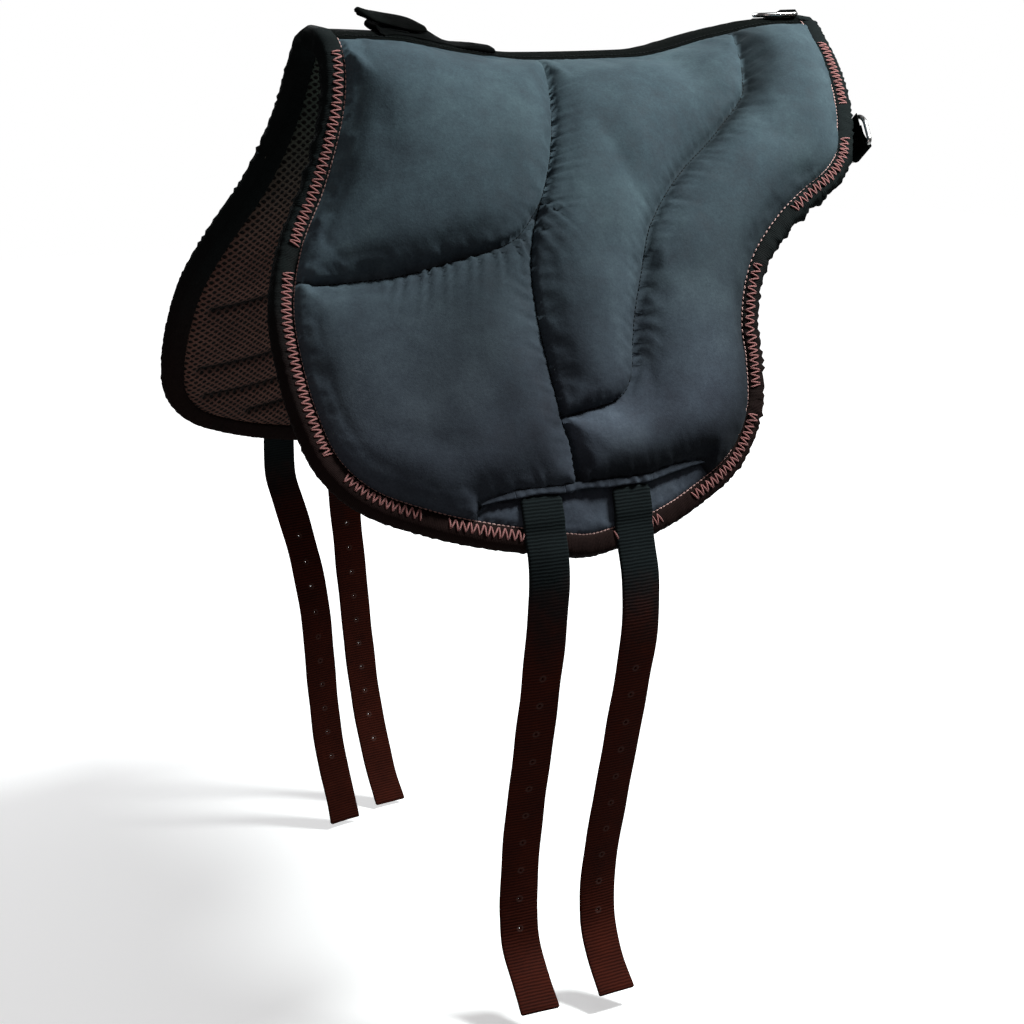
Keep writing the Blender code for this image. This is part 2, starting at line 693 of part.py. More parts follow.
def add_fillings(name, side):
    """One filling in each quilted chamber, drawn in from the seams under the cover."""
    field = [face for face in QUILT_FACES if min(face) >= len(PANEL_EDGE)]
    heights = crown_heights(QUILT_FLAT)
    core_top = DRAPE.lift(QUILT_FLAT, 0)
    for chamber in CROWNS:
        faces = [f for f in field if chamber_of(QUILT_FLAT[list(f)].mean(axis=0)) == chamber]
        faces = [f for f in faces if heights[list(f)].max() > 0]
        border = border_edges(faces)
        flat, rim = drawn_in(QUILT_FLAT, border, faces, heights)
        base = core_top.copy()
        base[rim] = on_faces(QUILT_FLAT, faces, core_top, flat[rim])
        room = on_faces(QUILT_FLAT, faces, heights, flat[rim])
        top = heights.copy()
        top[rim] = np.clip(room * FILL_RIM_SHARE, CLEARANCE * 3, FILL_EDGE)
        floor = np.full(len(flat), CLEARANCE)
        floor[rim] = CLEARANCE * 2
        used = sorted({i for f in faces for i in f})
        new = {old: k for k, old in enumerate(used)}
        faces = [tuple(new[i] for i in f) for f in faces]
        normals = DRAPE.normal(flat[used])
        upper = base[used] + normals * top[used][:, None]
        lower = base[used] + normals * floor[used][:, None]
        shift = len(used)
        walls = [(new[a], new[b], new[b] + shift, new[a] + shift) for a, b, _ in border]
        under = [tuple(i + shift for i in reversed(f)) for f in faces]
        add_side(f"filling_{chamber}_{name}", side, np.vstack([upper, lower]), faces + under + walls, "filling")


def binding_sections():
    """Sections of the folded tape round one side's edge, each ten points from inside the fold round it."""
    edge = ring(EDGE_INSET)
    inner = ring(BINDING_WIDTH)
    up = DRAPE.normal(edge) * BINDING_THICK
    skins = []
    for height in (LEG_TOP, LEG_BOTTOM):
        at_edge = DRAPE.lift(edge, height)
        at_inner = DRAPE.lift(inner, height)
        outwards = at_edge - at_inner
        outwards /= np.linalg.norm(outwards, axis=1)[:, None]
        clear = outwards * CLEARANCE
        skins.append((at_inner + clear, at_edge + clear, outwards * BINDING_THICK))
    (leg, wall, out), (low_leg, low_wall, low_out) = skins
    inside_fold = (leg, wall, low_wall, low_leg)
    outside_fold = (low_leg - up, low_wall - up, low_wall + low_out, wall + out, wall + up, leg + up)
    return np.stack(inside_fold + outside_fold, axis=1)


def add_binding(name, side):
    """A folded tape round the edge of one side, from the middle of the front arch to the middle of the rear."""
    points, faces = swept(list(binding_sections()), turned=(LOWER_LEG,))
    add_side(f"binding_{name}", side, points, faces, "binding")


def swept(sections, closed=False, turned=()):
    """A body through a list of like sections, capped at its ends unless it closes on itself.

    The turned sides have their diagonals the other way, to lie along those of the piece beside them.
    """
    count = len(sections[0])
    faces = []
    last = len(sections) if closed else len(sections) - 1
    for k in range(last):
        a = k * count
        b = (k + 1) % len(sections) * count
        for i in range(count):
            j = (i + 1) % count
            if i in turned:
                faces.append((a + i, b + i, a + j))
                faces.append((b + i, b + j, a + j))
            else:
                faces.append((a + i, b + i, b + j))
                faces.append((a + i, b + j, a + j))
    if not closed:
        faces.append(tuple(reversed(range(count))))
        faces.append(tuple(range((len(sections) - 1) * count, len(sections) * count)))
    return np.vstack(sections), faces


def spine_rows():
    """Flat grid of the spine strip: rows across it, each from the front edge to the rear edge."""
    edge = ring(EDGE_INSET)
    inner = ring(BINDING_WIDTH)
    reach = TAPE_HALF - CLEARANCE / 2
    rows = []
    for down, k in ((-reach, 2), (-TAPE_HALF / 2, 1), (0, 0), (TAPE_HALF / 2, 1), (reach, 2)):
        starts = [edge[k, 0], inner[k, 0]]
        ends = [inner[-1 - k, 0], edge[-1 - k, 0]]
        columns = [*starts, *(starts[1] + (ends[0] - starts[1]) * COLUMN_SHARES), *ends]
        rows.append([(along, down) for along in columns])
    return np.array(rows)


def add_strip(name, rows, top, low, finish):
    """A layer over a flat grid, between two heights."""
    down, along = rows.shape[:2]
    flat = rows.reshape(-1, 2)
    faces = []
    for j in range(down - 1):
        for i in range(along - 1):
            a = j * along + i
            faces.append((a, a + along, a + along + 1))
            faces.append((a, a + along + 1, a + 1))
    first = list(range(along))
    right = [j * along + along - 1 for j in range(1, down)]
    last = list(range((down - 1) * along + along - 2, (down - 1) * along - 1, -1))
    left = [j * along for j in range(down - 2, 0, -1)]
    loop = first + right + last + left
    points, faces = closed_sheet(DRAPE.lift(flat, top), faces, DRAPE.lift(flat, low), faces, loop)
    return add_object(name, points, faces, finish)


def ribbon(centres, across, normals, widths, thick):
    """Sections of a flat strap along a line of centres."""
    sections = []
    for centre, side, normal, width in zip(centres, across, normals, np.broadcast_to(widths, len(centres))):
        half = side * width / 2
        up = normal * thick / 2
        sections.append([centre - half - up, centre + half - up, centre + half + up, centre - half + up])
    return sections


def billet_frame(along):
    """Root, width direction and outward direction of a billet on the near side."""
    lower = SEAMS["lower"]
    down = np.interp(along, lower[:, 0], lower[:, 1]) + BILLET_BELOW_SEAM
    half = BILLET_WIDTH / 2
    front, rear = DRAPE.base([(along - half, down), (along + half, down)])
    across = (rear - front) * (1, 1, 0)
    across /= np.linalg.norm(across)
    outward = np.array([across[1], -across[0], 0])
    crown = STRIP_CROWN * shoulder(BILLET_BELOW_SEAM, STRIP_SHOULDER)
    root = DRAPE.lift([(along, down)], SEAM_TOP + crown + BILLET_CLEAR + BILLET_THICK / 2)[0]
    return down, root, across, outward


def billet_path(along, down, root, outward):
    """Fall and reach of the billet's middle from its root, where it lies over the strip and the binding."""
    bottom = SAMPLES[ARCH_SAMPLES:ARCH_SAMPLES + BOTTOM_SAMPLES]
    edge_down = np.interp(along, bottom[:, 0], bottom[:, 1])
    half_thick = BILLET_THICK / 2
    strip_lift = SEAM_TOP + STRIP_CROWN + BILLET_CLEAR + half_thick
    edge_lift = LEG_TOP + BINDING_THICK + BILLET_CLEAR + half_thick
    inner_down = edge_down - BINDING_WIDTH
    stops = [(inner_down + (down - inner_down) * share, strip_lift) for share in BILLET_STOP_SHARES]
    stops += [(inner_down, edge_lift), (edge_down + BINDING_THICK, edge_lift)]
    path = [(0.0, 0.0)]
    for stop, lift in stops:
        flat = [(along + aside, stop) for aside in (0, -BILLET_WIDTH / 2, BILLET_WIDTH / 2)]
        places = DRAPE.lift(flat, lift) - root
        path.append((-places[0, 2], (places @ outward).max()))
    return path


def hole_ring(centre, side, along, radius):
    turns = 2 * math.pi * (np.arange(HOLE_SIDES) + 1 / 2) / HOLE_SIDES
    return [centre + (side * math.cos(t) + along * math.sin(t)) * radius for t in turns]


def add_billet(name):
    """A punched strap from the lower seam over the pad's edge, hanging as the strap's set bends it."""
    side = BILLET_SIDES[name]
    lean = BILLET_LEAN_SHARES[name]
    along = BILLET_PLACE_SHARES[name] * PAD_LENGTH
    down, root, across, outward = billet_frame(along)
    path = billet_path(along, down, root, outward)
    used_path = list(path)
    hanging = BILLET_LENGTH - lengths_along(np.array(used_path))[-1]
    punched = HOLE_PITCH * HOLE_COUNT
    plain = hanging - punched - END_MARGIN
    steps = [plain / PLAIN_SEGMENTS] * PLAIN_SEGMENTS + [HOLE_PITCH] * HOLE_COUNT + [END_MARGIN / 2] * 2
    run = 0
    drift = [0.0] * len(path)
    for step in steps:
        share = (run + step / 2) / hanging
        angle = math.radians(smooth_value(BILLET_RUN_SHARES[name], BILLET_ANGLES[name], share))
        fall, reach = path[-1]
        path.append((fall + step * math.cos(angle), reach + step * math.sin(angle)))
        run += step
        drift.append(lean * run)
    path = np.array(path)
    centres = root + path[:, 1:] * outward + np.array(drift)[:, None] * across
    centres[:, 2] -= path[:, 0]
    first_hole = len(used_path) + PLAIN_SEGMENTS - 1
    points, faces = punched_strap(centres, across, outward, first_hole)
    add_side(f"billet_{name}", side, points, faces, "webbing", origin=root)


def punched_strap(centres, across, outward, first_hole):
    """A flat strap along the centres, with a round hole in the middle of each punched segment."""
    half = across * BILLET_WIDTH / 2
    runs = np.diff(centres, axis=0)
    runs /= np.linalg.norm(runs, axis=1)[:, None]
    facing = np.cross(across, runs)
    facing /= np.linalg.norm(facing, axis=1)[:, None]
    if facing[0] @ outward < 0:
        facing = -facing
    joints = np.vstack([facing[:1], facing[:-1] + facing[1:], facing[-1:]])
    joints /= np.linalg.norm(joints, axis=1)[:, None]
    spread = 1 / np.abs((joints * np.vstack([facing, facing[-1:]])).sum(axis=1))
    up = joints * spread[:, None] * BILLET_THICK / 2
    points = []
    for centre, rise in zip(centres, up):
        points += [centre - half + rise, centre + half + rise, centre + half - rise, centre - half - rise]
    faces = [(0, 1, 2, 3), tuple(reversed(range(len(points) - 4, len(points))))]
    for k in range(len(runs)):
        a = 4 * k
        b = a + 4
        faces.append((a + 1, b + 1, b + 2, a + 2))
        faces.append((a, a + 3, b + 3, b))
        if not first_hole <= k < first_hole + HOLE_COUNT:
            faces.append((a, b, b + 1, a + 1))
            faces.append((a + 3, a + 2, b + 2, b + 3))
            continue
        middle = (centres[k] + centres[k + 1]) / 2
        upright = np.cross(facing[k], across)
        upright /= np.linalg.norm(upright)
        if upright @ runs[k] < 0:
            upright = -upright
        top = len(points)
        points += hole_ring(middle + facing[k] * BILLET_THICK / 2, across, upright, HOLE_RADIUS)
        low = len(points)
        points += hole_ring(middle - facing[k] * BILLET_THICK / 2, across, upright, HOLE_RADIUS)
        for corners, base in (((b + 1, b, a, a + 1), top), ((b + 2, b + 3, a + 3, a + 2), low)):
            for j in range(4):
                here = corners[j]
                after = corners[(j + 1) % 4]
                first = base + 2 * j
                last = base + (2 * j + 2) % HOLE_SIDES
                faces.append((here, first, first + 1))
                faces.append((here, first + 1, last, after))
        for j in range(HOLE_SIDES):
            n = (j + 1) % HOLE_SIDES
            faces.append((top + j, top + n, low + n, low + j))
    return np.array(points), faces


def ring_path():
    """Middle line of a ring in its own plane: a straight bar, two sides and a round end."""
    half = RING_SPAN / 2
    path = [(-half + RING_CORNER, 0), (0, 0), (half - RING_CORNER, 0), (half, RING_CORNER)]
    middle = RING_REACH - half
    for t in np.linspace(0, math.pi, RING_ARC_STEPS):
        path.append((half * math.cos(t), middle + half * math.sin(t)))
    path.append((-half, RING_CORNER))
    return np.array(path)


def tab_outline():
    """Outline of a tab folded round the ring's bar, and of its eye, as (along the tab, off the base)."""
    inner = RING_WIRE / 2 + TAB_EYE_CLEAR
    outer = inner + TAB_THICK
    outline = [(TAB_PLATE, 0)]
    eye = []
    for t in np.radians((-90, -135, -180, -225, -270)):
        outline.append((outer * math.cos(t), outer + outer * math.sin(t)))
        eye.append((inner * math.cos(t), outer + inner * math.sin(t)))
    outline += [(TAB_EYE, TAB_THICK * 2), (TAB_LOOP, TAB_THICK * 2)]
    outline += [(TAB_LOOP + TAB_PLATE_THICK, TAB_PLATE_THICK), (TAB_PLATE, TAB_PLATE_THICK)]
    eye.append((TAB_EYE, TAB_THICK + TAB_PLATE_THICK / 4))
    return np.array(outline), np.array(eye)


def pierced_block(outline, hole, width, place):
    """A body cut straight through: a flat outline with a hole in it, given a width by the place function."""
    flat = np.vstack([outline, hole])
    loops = [list(range(len(outline))), list(range(len(outline), len(flat)))]
    _, _, faces, _, _, _ = delaunay_2d_cdt([tuple(p) for p in flat], [], loops, 1, CLEARANCE / 100)
    caps = [tuple(face) for face in faces if not is_inside(flat[list(face)].mean(axis=0), hole)]
    shift = len(flat)
    points = [place(p, -width / 2) for p in flat] + [place(p, width / 2) for p in flat]
    faces = caps + [tuple(i + shift for i in reversed(face)) for face in caps]
    for loop in loops:
        for a, b in zip(loop, loop[1:] + loop[:1]):
            faces.append((a, b, b + shift, a + shift))
    return points, faces


def add_ring_and_tab(name, foot, along, across, off, side):
    """A tab sewn to the pad and the ring in its fold. The foot is under the middle of the ring's bar."""
    outline, eye = tab_outline()

    def place(flat, aside):
        return foot + along * flat[0] + off * flat[1] + across * aside

    points, faces = pierced_block(outline, eye, TAB_WIDTH, place)
    add_side(f"tab_{name}", side, points, faces, "webbing")
    bar = foot + off * (RING_WIRE / 2 + TAB_EYE_CLEAR + TAB_THICK)
    path = ring_path()
    middles = np.array([bar + across * x + along * y for x, y in path])
    runs = np.roll(middles, -1, axis=0) - np.roll(middles, 1, axis=0)
    runs /= np.linalg.norm(runs, axis=1)[:, None]
    sections = []
    for centre, run in zip(middles, runs):
        outwards = np.cross(run, off)
        turns = 2 * math.pi * np.arange(RING_SIDES) / RING_SIDES
        sections.append([centre + (outwards * math.cos(t) + off * math.sin(t)) * RING_WIRE / 2 for t in turns])
    points, faces = swept(sections, closed=True)
    add_side(f"ring_{name}", side, points, faces, "ring", origin=bar, smooth=True)


def seated(foot, along, across, off, skin):
    """The foot moved square to the tab's base, until the base just clears the line of points under it."""
    skin = resample(skin, len(skin) * CURVE_STEPS) - foot
    under = (skin @ along > 0) & (skin @ along < TAB_PLATE) & (np.abs(skin @ across) < TAB_WIDTH / 2)
    return foot + off * ((skin[under] @ off).max() + CLEARANCE)


def add_spine_ring():
    """A ring at the rear of the spine, lying forward on its tab."""
    tape = DRAPE.lift(spine_rows()[2], SEAM_TOP)
    place = ring(BINDING_WIDTH)[-1, 0] - SPINE_RING_SETBACK
    heights = np.interp((place, place - TAB_PLATE), tape[:, 0], tape[:, 2])
    foot = np.array([place, 0, heights[0]])
    along = np.array([-TAB_PLATE, 0, heights[1] - heights[0]])
    along /= np.linalg.norm(along)
    across = np.array([0.0, 1.0, 0.0])
    off = np.cross(across, along)
    add_ring_and_tab("spine", seated(foot, along, across, off, tape), along, across, off, -1)


def add_side_ring(name, side):
    """A ring at the rear edge, folded up along it, with its tab sewn to the binding."""
    run = lengths_along(SAMPLES)
    rear = slice(None, -ARCH_SAMPLES - 1, -1)
    start = np.interp(SIDE_RING_DOWN, SAMPLES[rear, 1], run[rear])
    marks = start + np.linspace(0, TAB_PLATE, CURVE_STEPS)
    flat = np.stack([np.interp(marks, run, SAMPLES[:, k]) for k in range(2)], axis=1)
    edge = DRAPE.lift(flat, (LEG_TOP + LEG_BOTTOM) / 2)
    normal = DRAPE.normal(flat).mean(axis=0)
    rise = edge[-1] - edge[0]
    rise -= normal * (rise @ normal)
    rise /= np.linalg.norm(rise)
    across = normal / np.linalg.norm(normal)
    square = np.cross(rise, across)
    square *= np.sign(square[0])
    lean = math.radians(SIDE_TAB_LEAN)
    along = rise * math.cos(lean) - square * math.sin(lean)
    off = square * math.cos(lean) + rise * math.sin(lean)
    tip = edge[-1]
    sections = binding_sections()
    foot = tip - along * TAB_PLATE
    feet = [seated(foot, along, across, off, sections[:, k]) for k in OUTER_WALL]
    foot = max(feet, key=lambda place: place @ off)
    add_ring_and_tab(name, foot, along, across, off, side)


def tilted(centres, tilts):
    """Width and face directions of a strap along a line of centres, tipped towards the near side."""
    run = np.gradient(centres, axis=0)
    run /= np.linalg.norm(run, axis=1)[:, None]
    tilts = np.radians(tilts)
    across = np.stack([0 * tilts, np.cos(tilts), np.sin(tilts)], axis=1)
    across -= run * (across * run).sum(axis=1)[:, None]
    across /= np.linalg.norm(across, axis=1)[:, None]
    return across, np.cross(run, across)


def strap_line(table):
    """Centres of a strap over the spine tape, from its table of shares."""
    row = spine_rows()[2]
    tape = DRAPE.lift(row, SEAM_TOP)
    places = table[:, 0] * STRAP_SPAN - STRAP_START
    rises = CLEARANCE + STRAP_THICK / 2 + table[:, 1] * STRAP_RISE
    heights = np.interp(places, tape[:, 0], tape[:, 2]) + rises
    return np.stack([places, 0 * places, heights], axis=1)


def add_grab_strap():
    """The grab strap on the front of the spine, and the suede tongue that stands forward from it."""
    table = np.array(STRAP_SHARES)
    centres = strap_line(table)
    across, normals = tilted(centres, table[:, 2])
    points, faces = swept(ribbon(centres, across, normals, STRAP_WIDTH, STRAP_THICK))
    add_object("grab_strap", points, faces, "webbing")
    table = np.array(TONGUE_SHARES)
    centres = strap_line(table)
    across, normals = tilted(centres, table[:, 2])
    normals *= np.sign(normals[:, 2:])
    centres += normals * (STRAP_THICK / 2 + TONGUE_THICK / 2 + TONGUE_APART)
    points, faces = swept(ribbon(centres, across, normals, table[:, 3] * TONGUE_WIDTH, TONGUE_THICK))
    add_object("grab_tongue", points, faces, "cover")


def main():
    for old in list(bpy.data.objects):
        bpy.data.objects.remove(old, do_unlink=True)
    for name, side in (("near", -1), ("far", 1)):
        add_layers(name, side)
        add_fillings(name, side)
        add_binding(name, side)
        add_side_ring(name, side)
    rows = spine_rows()
    add_strip("spine_tape", rows, SEAM_TOP, CLEARANCE, "webbing")
    add_strip("spine_core", rows, 0, -CORE_THICK, "core")
    add_strip("spine_lining", rows, LINING_TOP, LINING_FACE, "lining")
    for name in BILLET_SIDES:
        add_billet(name)
    add_spine_ring()
    add_grab_strap()


main()
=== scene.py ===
"""How the bareback pad looks: its cloth, stitching, webbing and rings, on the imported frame."""
import math
from collections import Counter

import bmesh
import bpy
import numpy as np
from mathutils.geometry import delaunay_2d_cdt
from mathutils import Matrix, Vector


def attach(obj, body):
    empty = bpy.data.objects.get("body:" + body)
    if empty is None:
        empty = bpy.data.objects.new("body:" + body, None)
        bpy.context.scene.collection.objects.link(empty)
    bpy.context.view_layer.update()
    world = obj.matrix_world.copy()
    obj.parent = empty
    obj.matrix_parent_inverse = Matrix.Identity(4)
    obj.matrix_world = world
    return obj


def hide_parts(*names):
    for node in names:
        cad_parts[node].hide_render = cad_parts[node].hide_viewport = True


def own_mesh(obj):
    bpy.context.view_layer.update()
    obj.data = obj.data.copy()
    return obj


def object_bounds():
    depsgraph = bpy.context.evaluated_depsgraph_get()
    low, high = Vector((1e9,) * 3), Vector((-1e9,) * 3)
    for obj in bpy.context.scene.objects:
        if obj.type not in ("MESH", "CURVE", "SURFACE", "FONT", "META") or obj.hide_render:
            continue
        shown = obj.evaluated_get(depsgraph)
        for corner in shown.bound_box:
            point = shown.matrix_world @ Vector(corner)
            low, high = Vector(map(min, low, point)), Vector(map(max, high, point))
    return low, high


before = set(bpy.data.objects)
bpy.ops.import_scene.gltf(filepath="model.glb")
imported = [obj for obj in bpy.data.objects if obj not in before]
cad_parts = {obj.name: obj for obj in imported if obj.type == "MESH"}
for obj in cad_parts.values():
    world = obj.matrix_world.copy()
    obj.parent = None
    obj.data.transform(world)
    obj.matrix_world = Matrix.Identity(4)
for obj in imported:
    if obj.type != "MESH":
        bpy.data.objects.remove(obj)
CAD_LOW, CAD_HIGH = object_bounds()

PAD_LENGTH = 0.656
PAD_DROP = 0.519
SPINE_RISE = 0.034
CLEARANCE = 0.0003
COVER_THICK = 0.0016
CORE_THICK = 0.008
LINING_THICK = 0.004
CHANNEL_BULGE = 0.005
CHANNEL_SHOULDER = 0.022
FRONT_UPPER_CROWN = 0.022
FRONT_LOWER_CROWN = 0.020
CENTRE_CROWN = 0.017
REAR_CROWN = 0.021
STRIP_CROWN = 0.004
CROWN_SHOULDER = 0.040
STRIP_SHOULDER = 0.013
TOP_SHOULDER = 0.065
REAR_SLOPE = 0.038
CRISP_SHOULDER = 0.027
SOFT_SHOULDER = 0.046
BINDING_WIDTH = 0.019
BINDING_THICK = 0.002
TAPE_HALF = 0.026
SEAM_END = 0.014
BILLET_WIDTH = 0.038
BILLET_THICK = 0.003
BILLET_LENGTH = 0.515
BILLET_BELOW_SEAM = 0.0045
BILLET_CLEAR = 0.0008
HOLE_PITCH = 0.030
HOLE_RADIUS = 0.0021
HOLE_OPEN = 0.0008
HOLE_COUNT = 10
HOLE_SIDES = 18
PLAIN_SEGMENTS = 4
END_MARGIN = 0.065
RING_WIRE = 0.0045
RING_SPAN = 0.0335
RING_REACH = 0.037
RING_CORNER = 0.003
TAB_WIDTH = 0.025
TAB_THICK = 0.0018
TAB_EYE_CLEAR = 0.0005
TAB_EYE = 0.012
TAB_LOOP = 0.022
TAB_PLATE = 0.036
STRAP_WIDTH = 0.026
STRAP_THICK = 0.0025
STRAP_RISE = 0.0066
STRAP_START = 0.146
STRAP_HANG = 0.010
STRAP_SPAN = 0.116
TONGUE_WIDTH = 0.027
TONGUE_THICK = 0.0025
TONGUE_APART = 0.0005
DRAPE_STATIONS = 481
DRAPE_STEPS = 721
CURVE_STEPS = 8
DRAPE_REACH_SHARE = 1.2
SEAM_STEP = 0.004
FINE_STEP = 0.0036
EDGE_INSET = BINDING_THICK + CLEARANCE
PANEL_TOP = TAPE_HALF + CLEARANCE / 2
CLOTH_PRESSURE = 5
CLOTH_SPARE = 0.022
CLOTH_FRAMES = 20
CLOTH_CAP = 0.009
MESH_PITCH = 0.0088
MESH_ROW = 0.0074
THREAD_TWIST = 0.0011
STITCH_SIDES = 6
WHIP_PITCH = 0.0031
FOLD_BASE = 0.0092
FLOOR_BELOW = 0.004
SEWN_WITHIN = 0.0005
STITCH_AHEAD = 0.002
STITCH_PITCH = 0.0042
EDGE_PITCH = 0.0043
BINDING_SKIN = BINDING_THICK * 0.9
BINDING_RIPPLE = 0.0095
SPINE_OVERRUN = 0.012
BILLET_CORNER = 0.003
BILLET_STEP = 0.003
FOLD_SPARE = 0.003
FLOOR_REACH = 6.0
CAMERA_LENS = 61.52
CAMERA_PLACE = (-0.8407, -1.4920, 0.0223)
CAMERA_TILT = 75.04
CAMERA_TURN = -29.4

# Stitches: length, width and height. A whip stitch's length is a share of the span that it crosses
WHIP_STITCH = (1.02, 0.0017, 0.0006)
EDGE_STITCH = (0.0042, 0.0014, 0.0006)
SEAM_STITCH = (0.0034, 0.0010, 0.0005)
SPINE_STITCH = (0.0034, 0.0009, 0.0004)
TAB_STITCH = (0.0026, 0.0008, 0.0003)

# Slope of the side, in degrees from level, at shares of the drop and at three stations along the spine
SECTION_SHARES = (0, 0.04, 0.08, 0.155, 0.27, 0.42, 0.62, 1)
STATION_SHARES = (-0.457, 0, 0.457)
STATION_SLOPES = (
    (0, 29, 61, 83, 73, 58, 56, 57),
    (0, 20, 30, 37, 45, 57, 69, 77),
    (0, 18, 26, 33, 43, 55, 67, 75),
)

# Height of the spine above the seat, in shares of the rise
SPINE_PLACE_SHARES = (-0.335, -0.22, -0.10, 0, 0.18, 0.33, 0.43, 0.535)
SPINE_HEIGHT_SHARES = (0.62, 0.56, 0.20, 0, 0.06, 0.62, 0.93, 1)

# Outer edge of a side, as (share of the length, share of the drop), from the front arch round to the rear
OUTLINE_SHARES = (
    (-0.323, 0), (-0.322, 0.058), (-0.326, 0.119), (-0.341, 0.195), (-0.375, 0.295), (-0.422, 0.399),
    (-0.454, 0.510), (-0.463, 0.620), (-0.460, 0.720), (-0.445, 0.803), (-0.405, 0.870), (-0.338, 0.918),
    (-0.236, 0.967), (-0.165, 0.990), (-0.100, 1), (-0.008, 0.979), (0.066, 0.945), (0.140, 0.892),
    (0.186, 0.805), (0.199, 0.715), (0.201, 0.660), (0.215, 0.603), (0.239, 0.556), (0.282, 0.516),
    (0.331, 0.488), (0.378, 0.465), (0.413, 0.432), (0.436, 0.380), (0.462, 0.300), (0.485, 0.206),
    (0.503, 0.125), (0.522, 0.058), (0.535, 0),
)

# Quilting seams, in the same shares
KNEE_SEAM_SHARES = (
    (-0.434, 0.480), (-0.349, 0.484), (-0.282, 0.487), (-0.229, 0.482), (-0.172, 0.474), (-0.133, 0.455),
    (-0.102, 0.416), (-0.084, 0.387),
)
MIDDLE_SEAM_SHARES = (
    (0.012, 0.052), (0.006, 0.112), (-0.014, 0.189), (-0.037, 0.264), (-0.063, 0.337), (-0.084, 0.387),
    (-0.104, 0.435), (-0.119, 0.484), (-0.128, 0.540), (-0.131, 0.607), (-0.130, 0.674), (-0.127, 0.732),
    (-0.125, 0.776), (-0.120, 0.829), (-0.120, 0.884),
)
REAR_SEAM_SHARES = (
    (0.362, 0.052), (0.347, 0.087), (0.325, 0.154), (0.308, 0.200), (0.288, 0.237), (0.220, 0.293),
    (0.151, 0.349), (0.099, 0.405), (0.064, 0.455), (0.047, 0.493), (0.029, 0.543), (0.009, 0.601),
    (-0.003, 0.651), (-0.012, 0.701), (-0.027, 0.734), (-0.047, 0.750), (-0.070, 0.757), (-0.125, 0.767),
)
LOWER_SEAM_SHARES = (
    (-0.370, 0.902), (-0.308, 0.899), (-0.253, 0.890), (-0.204, 0.886), (-0.120, 0.884), (-0.026, 0.884),
    (0.027, 0.873), (0.073, 0.869), (0.165, 0.872),
)
CHANNEL_SHARES = (0.575, 0.725, 0.800, 0.862)

# Billets: the side, the place along the spine as a share of the length, and the lean to the rear as a share of
# the hanging length
BILLET_SIDES = {"near_front": -1, "near_rear": -1, "far_front": 1, "far_rear": 1}
BILLET_PLACE_SHARES = {"near_front": -0.176, "near_rear": -0.045, "far_front": -0.211, "far_rear": -0.100}
BILLET_LEAN_SHARES = {"near_front": 0, "near_rear": 0, "far_front": 0.105, "far_rear": 0.105}
# The set of each billet: shares of its hanging length, and the angles out from plumb there, in degrees
BILLET_RUN_SHARES = {
    "near_front": (0, 0.10, 0.25, 0.50, 0.66, 0.78, 0.86, 0.90, 1),
    "near_rear": (0, 0.10, 0.25, 0.50, 0.66, 0.76, 0.86, 0.92, 1),
    "far_front": (0, 0.08, 0.16, 0.28, 0.40, 0.55, 0.75, 0.90, 1),
    "far_rear": (0, 0.10, 0.25, 0.45, 0.60, 0.75, 0.88, 1),
}
BILLET_ANGLES = {
    "near_front": (12, -8, -13, -15, -9, 0, 20, 45, 48),
    "near_rear": (22, 2, -14, -15, -14, -5, 12, 36, 44),
    "far_front": (20, 6, -22, -16, -5, 5, 0, -12, -4),
    "far_rear": (14, 5, 3, 3, 1, -7, -14, -28),
}
# Where a billet is led over the lower strip, as shares of the way from the binding up to its root
BILLET_STOP_SHARES = (0.65, 0.25)

# Grab strap, from its rear foot over the hump and back under to its front foot: place as a share of the span
# from the front fold, height as a share of the rise, and sideways tilt in degrees
STRAP_SHARES = (
    (1, 0, 0), (0.90, 0, 0), (0.80, 0, 2), (0.70, 0.08, 7), (0.62, 0.28, 13), (0.54, 0.56, 20),
    (0.45, 0.86, 26), (0.36, 1.04, 28), (0.24, 1.08, 28), (0.12, 1.06, 25), (0.03, 0.94, 18),
    (0, 0.58, 6), (0.05, 0.14, 2), (0.13, 0, 0), (0.28, 0, 0),
)
# The tongue on it: the same, and its width as a share of the full width
TONGUE_SHARES = (
    (0.46, 0.88, 26, 0.40), (0.36, 1.08, 28, 0.85), (0.26, 1.11, 28, 1), (0.12, 1.18, 25, 1),
    (0, 1.42, 24, 0.90), (-0.07, 1.68, 24, 0.62), (-0.147, 2.04, 24, 0.24),
)


def smooth_value(knots, values, at):
    """Monotone cubic through the knots, read at the given places."""
    knots = np.asarray(knots, float)
    values = np.asarray(values, float)
    step = np.diff(knots)
    rise = np.diff(values) / step
    slope = np.zeros(len(knots))
    for i in range(1, len(knots) - 1):
        if rise[i - 1] * rise[i] > 0:
            before = 2 * step[i] + step[i - 1]
            after = step[i] + 2 * step[i - 1]
            slope[i] = (before + after) / (before / rise[i - 1] + after / rise[i])
    slope[0] = rise[0]
    slope[-1] = rise[-1]
    at = np.clip(np.asarray(at, float), knots[0], knots[-1])
    k = np.clip(np.searchsorted(knots, at, side="right") - 1, 0, len(step) - 1)
    t = (at - knots[k]) / step[k]
    near = (1 + 2 * t) * (1 - t) ** 2 * values[k] + t * (1 - t) ** 2 * step[k] * slope[k]
    far = t * t * (3 - 2 * t) * values[k + 1] + t * t * (t - 1) * step[k] * slope[k + 1]
    return near + far


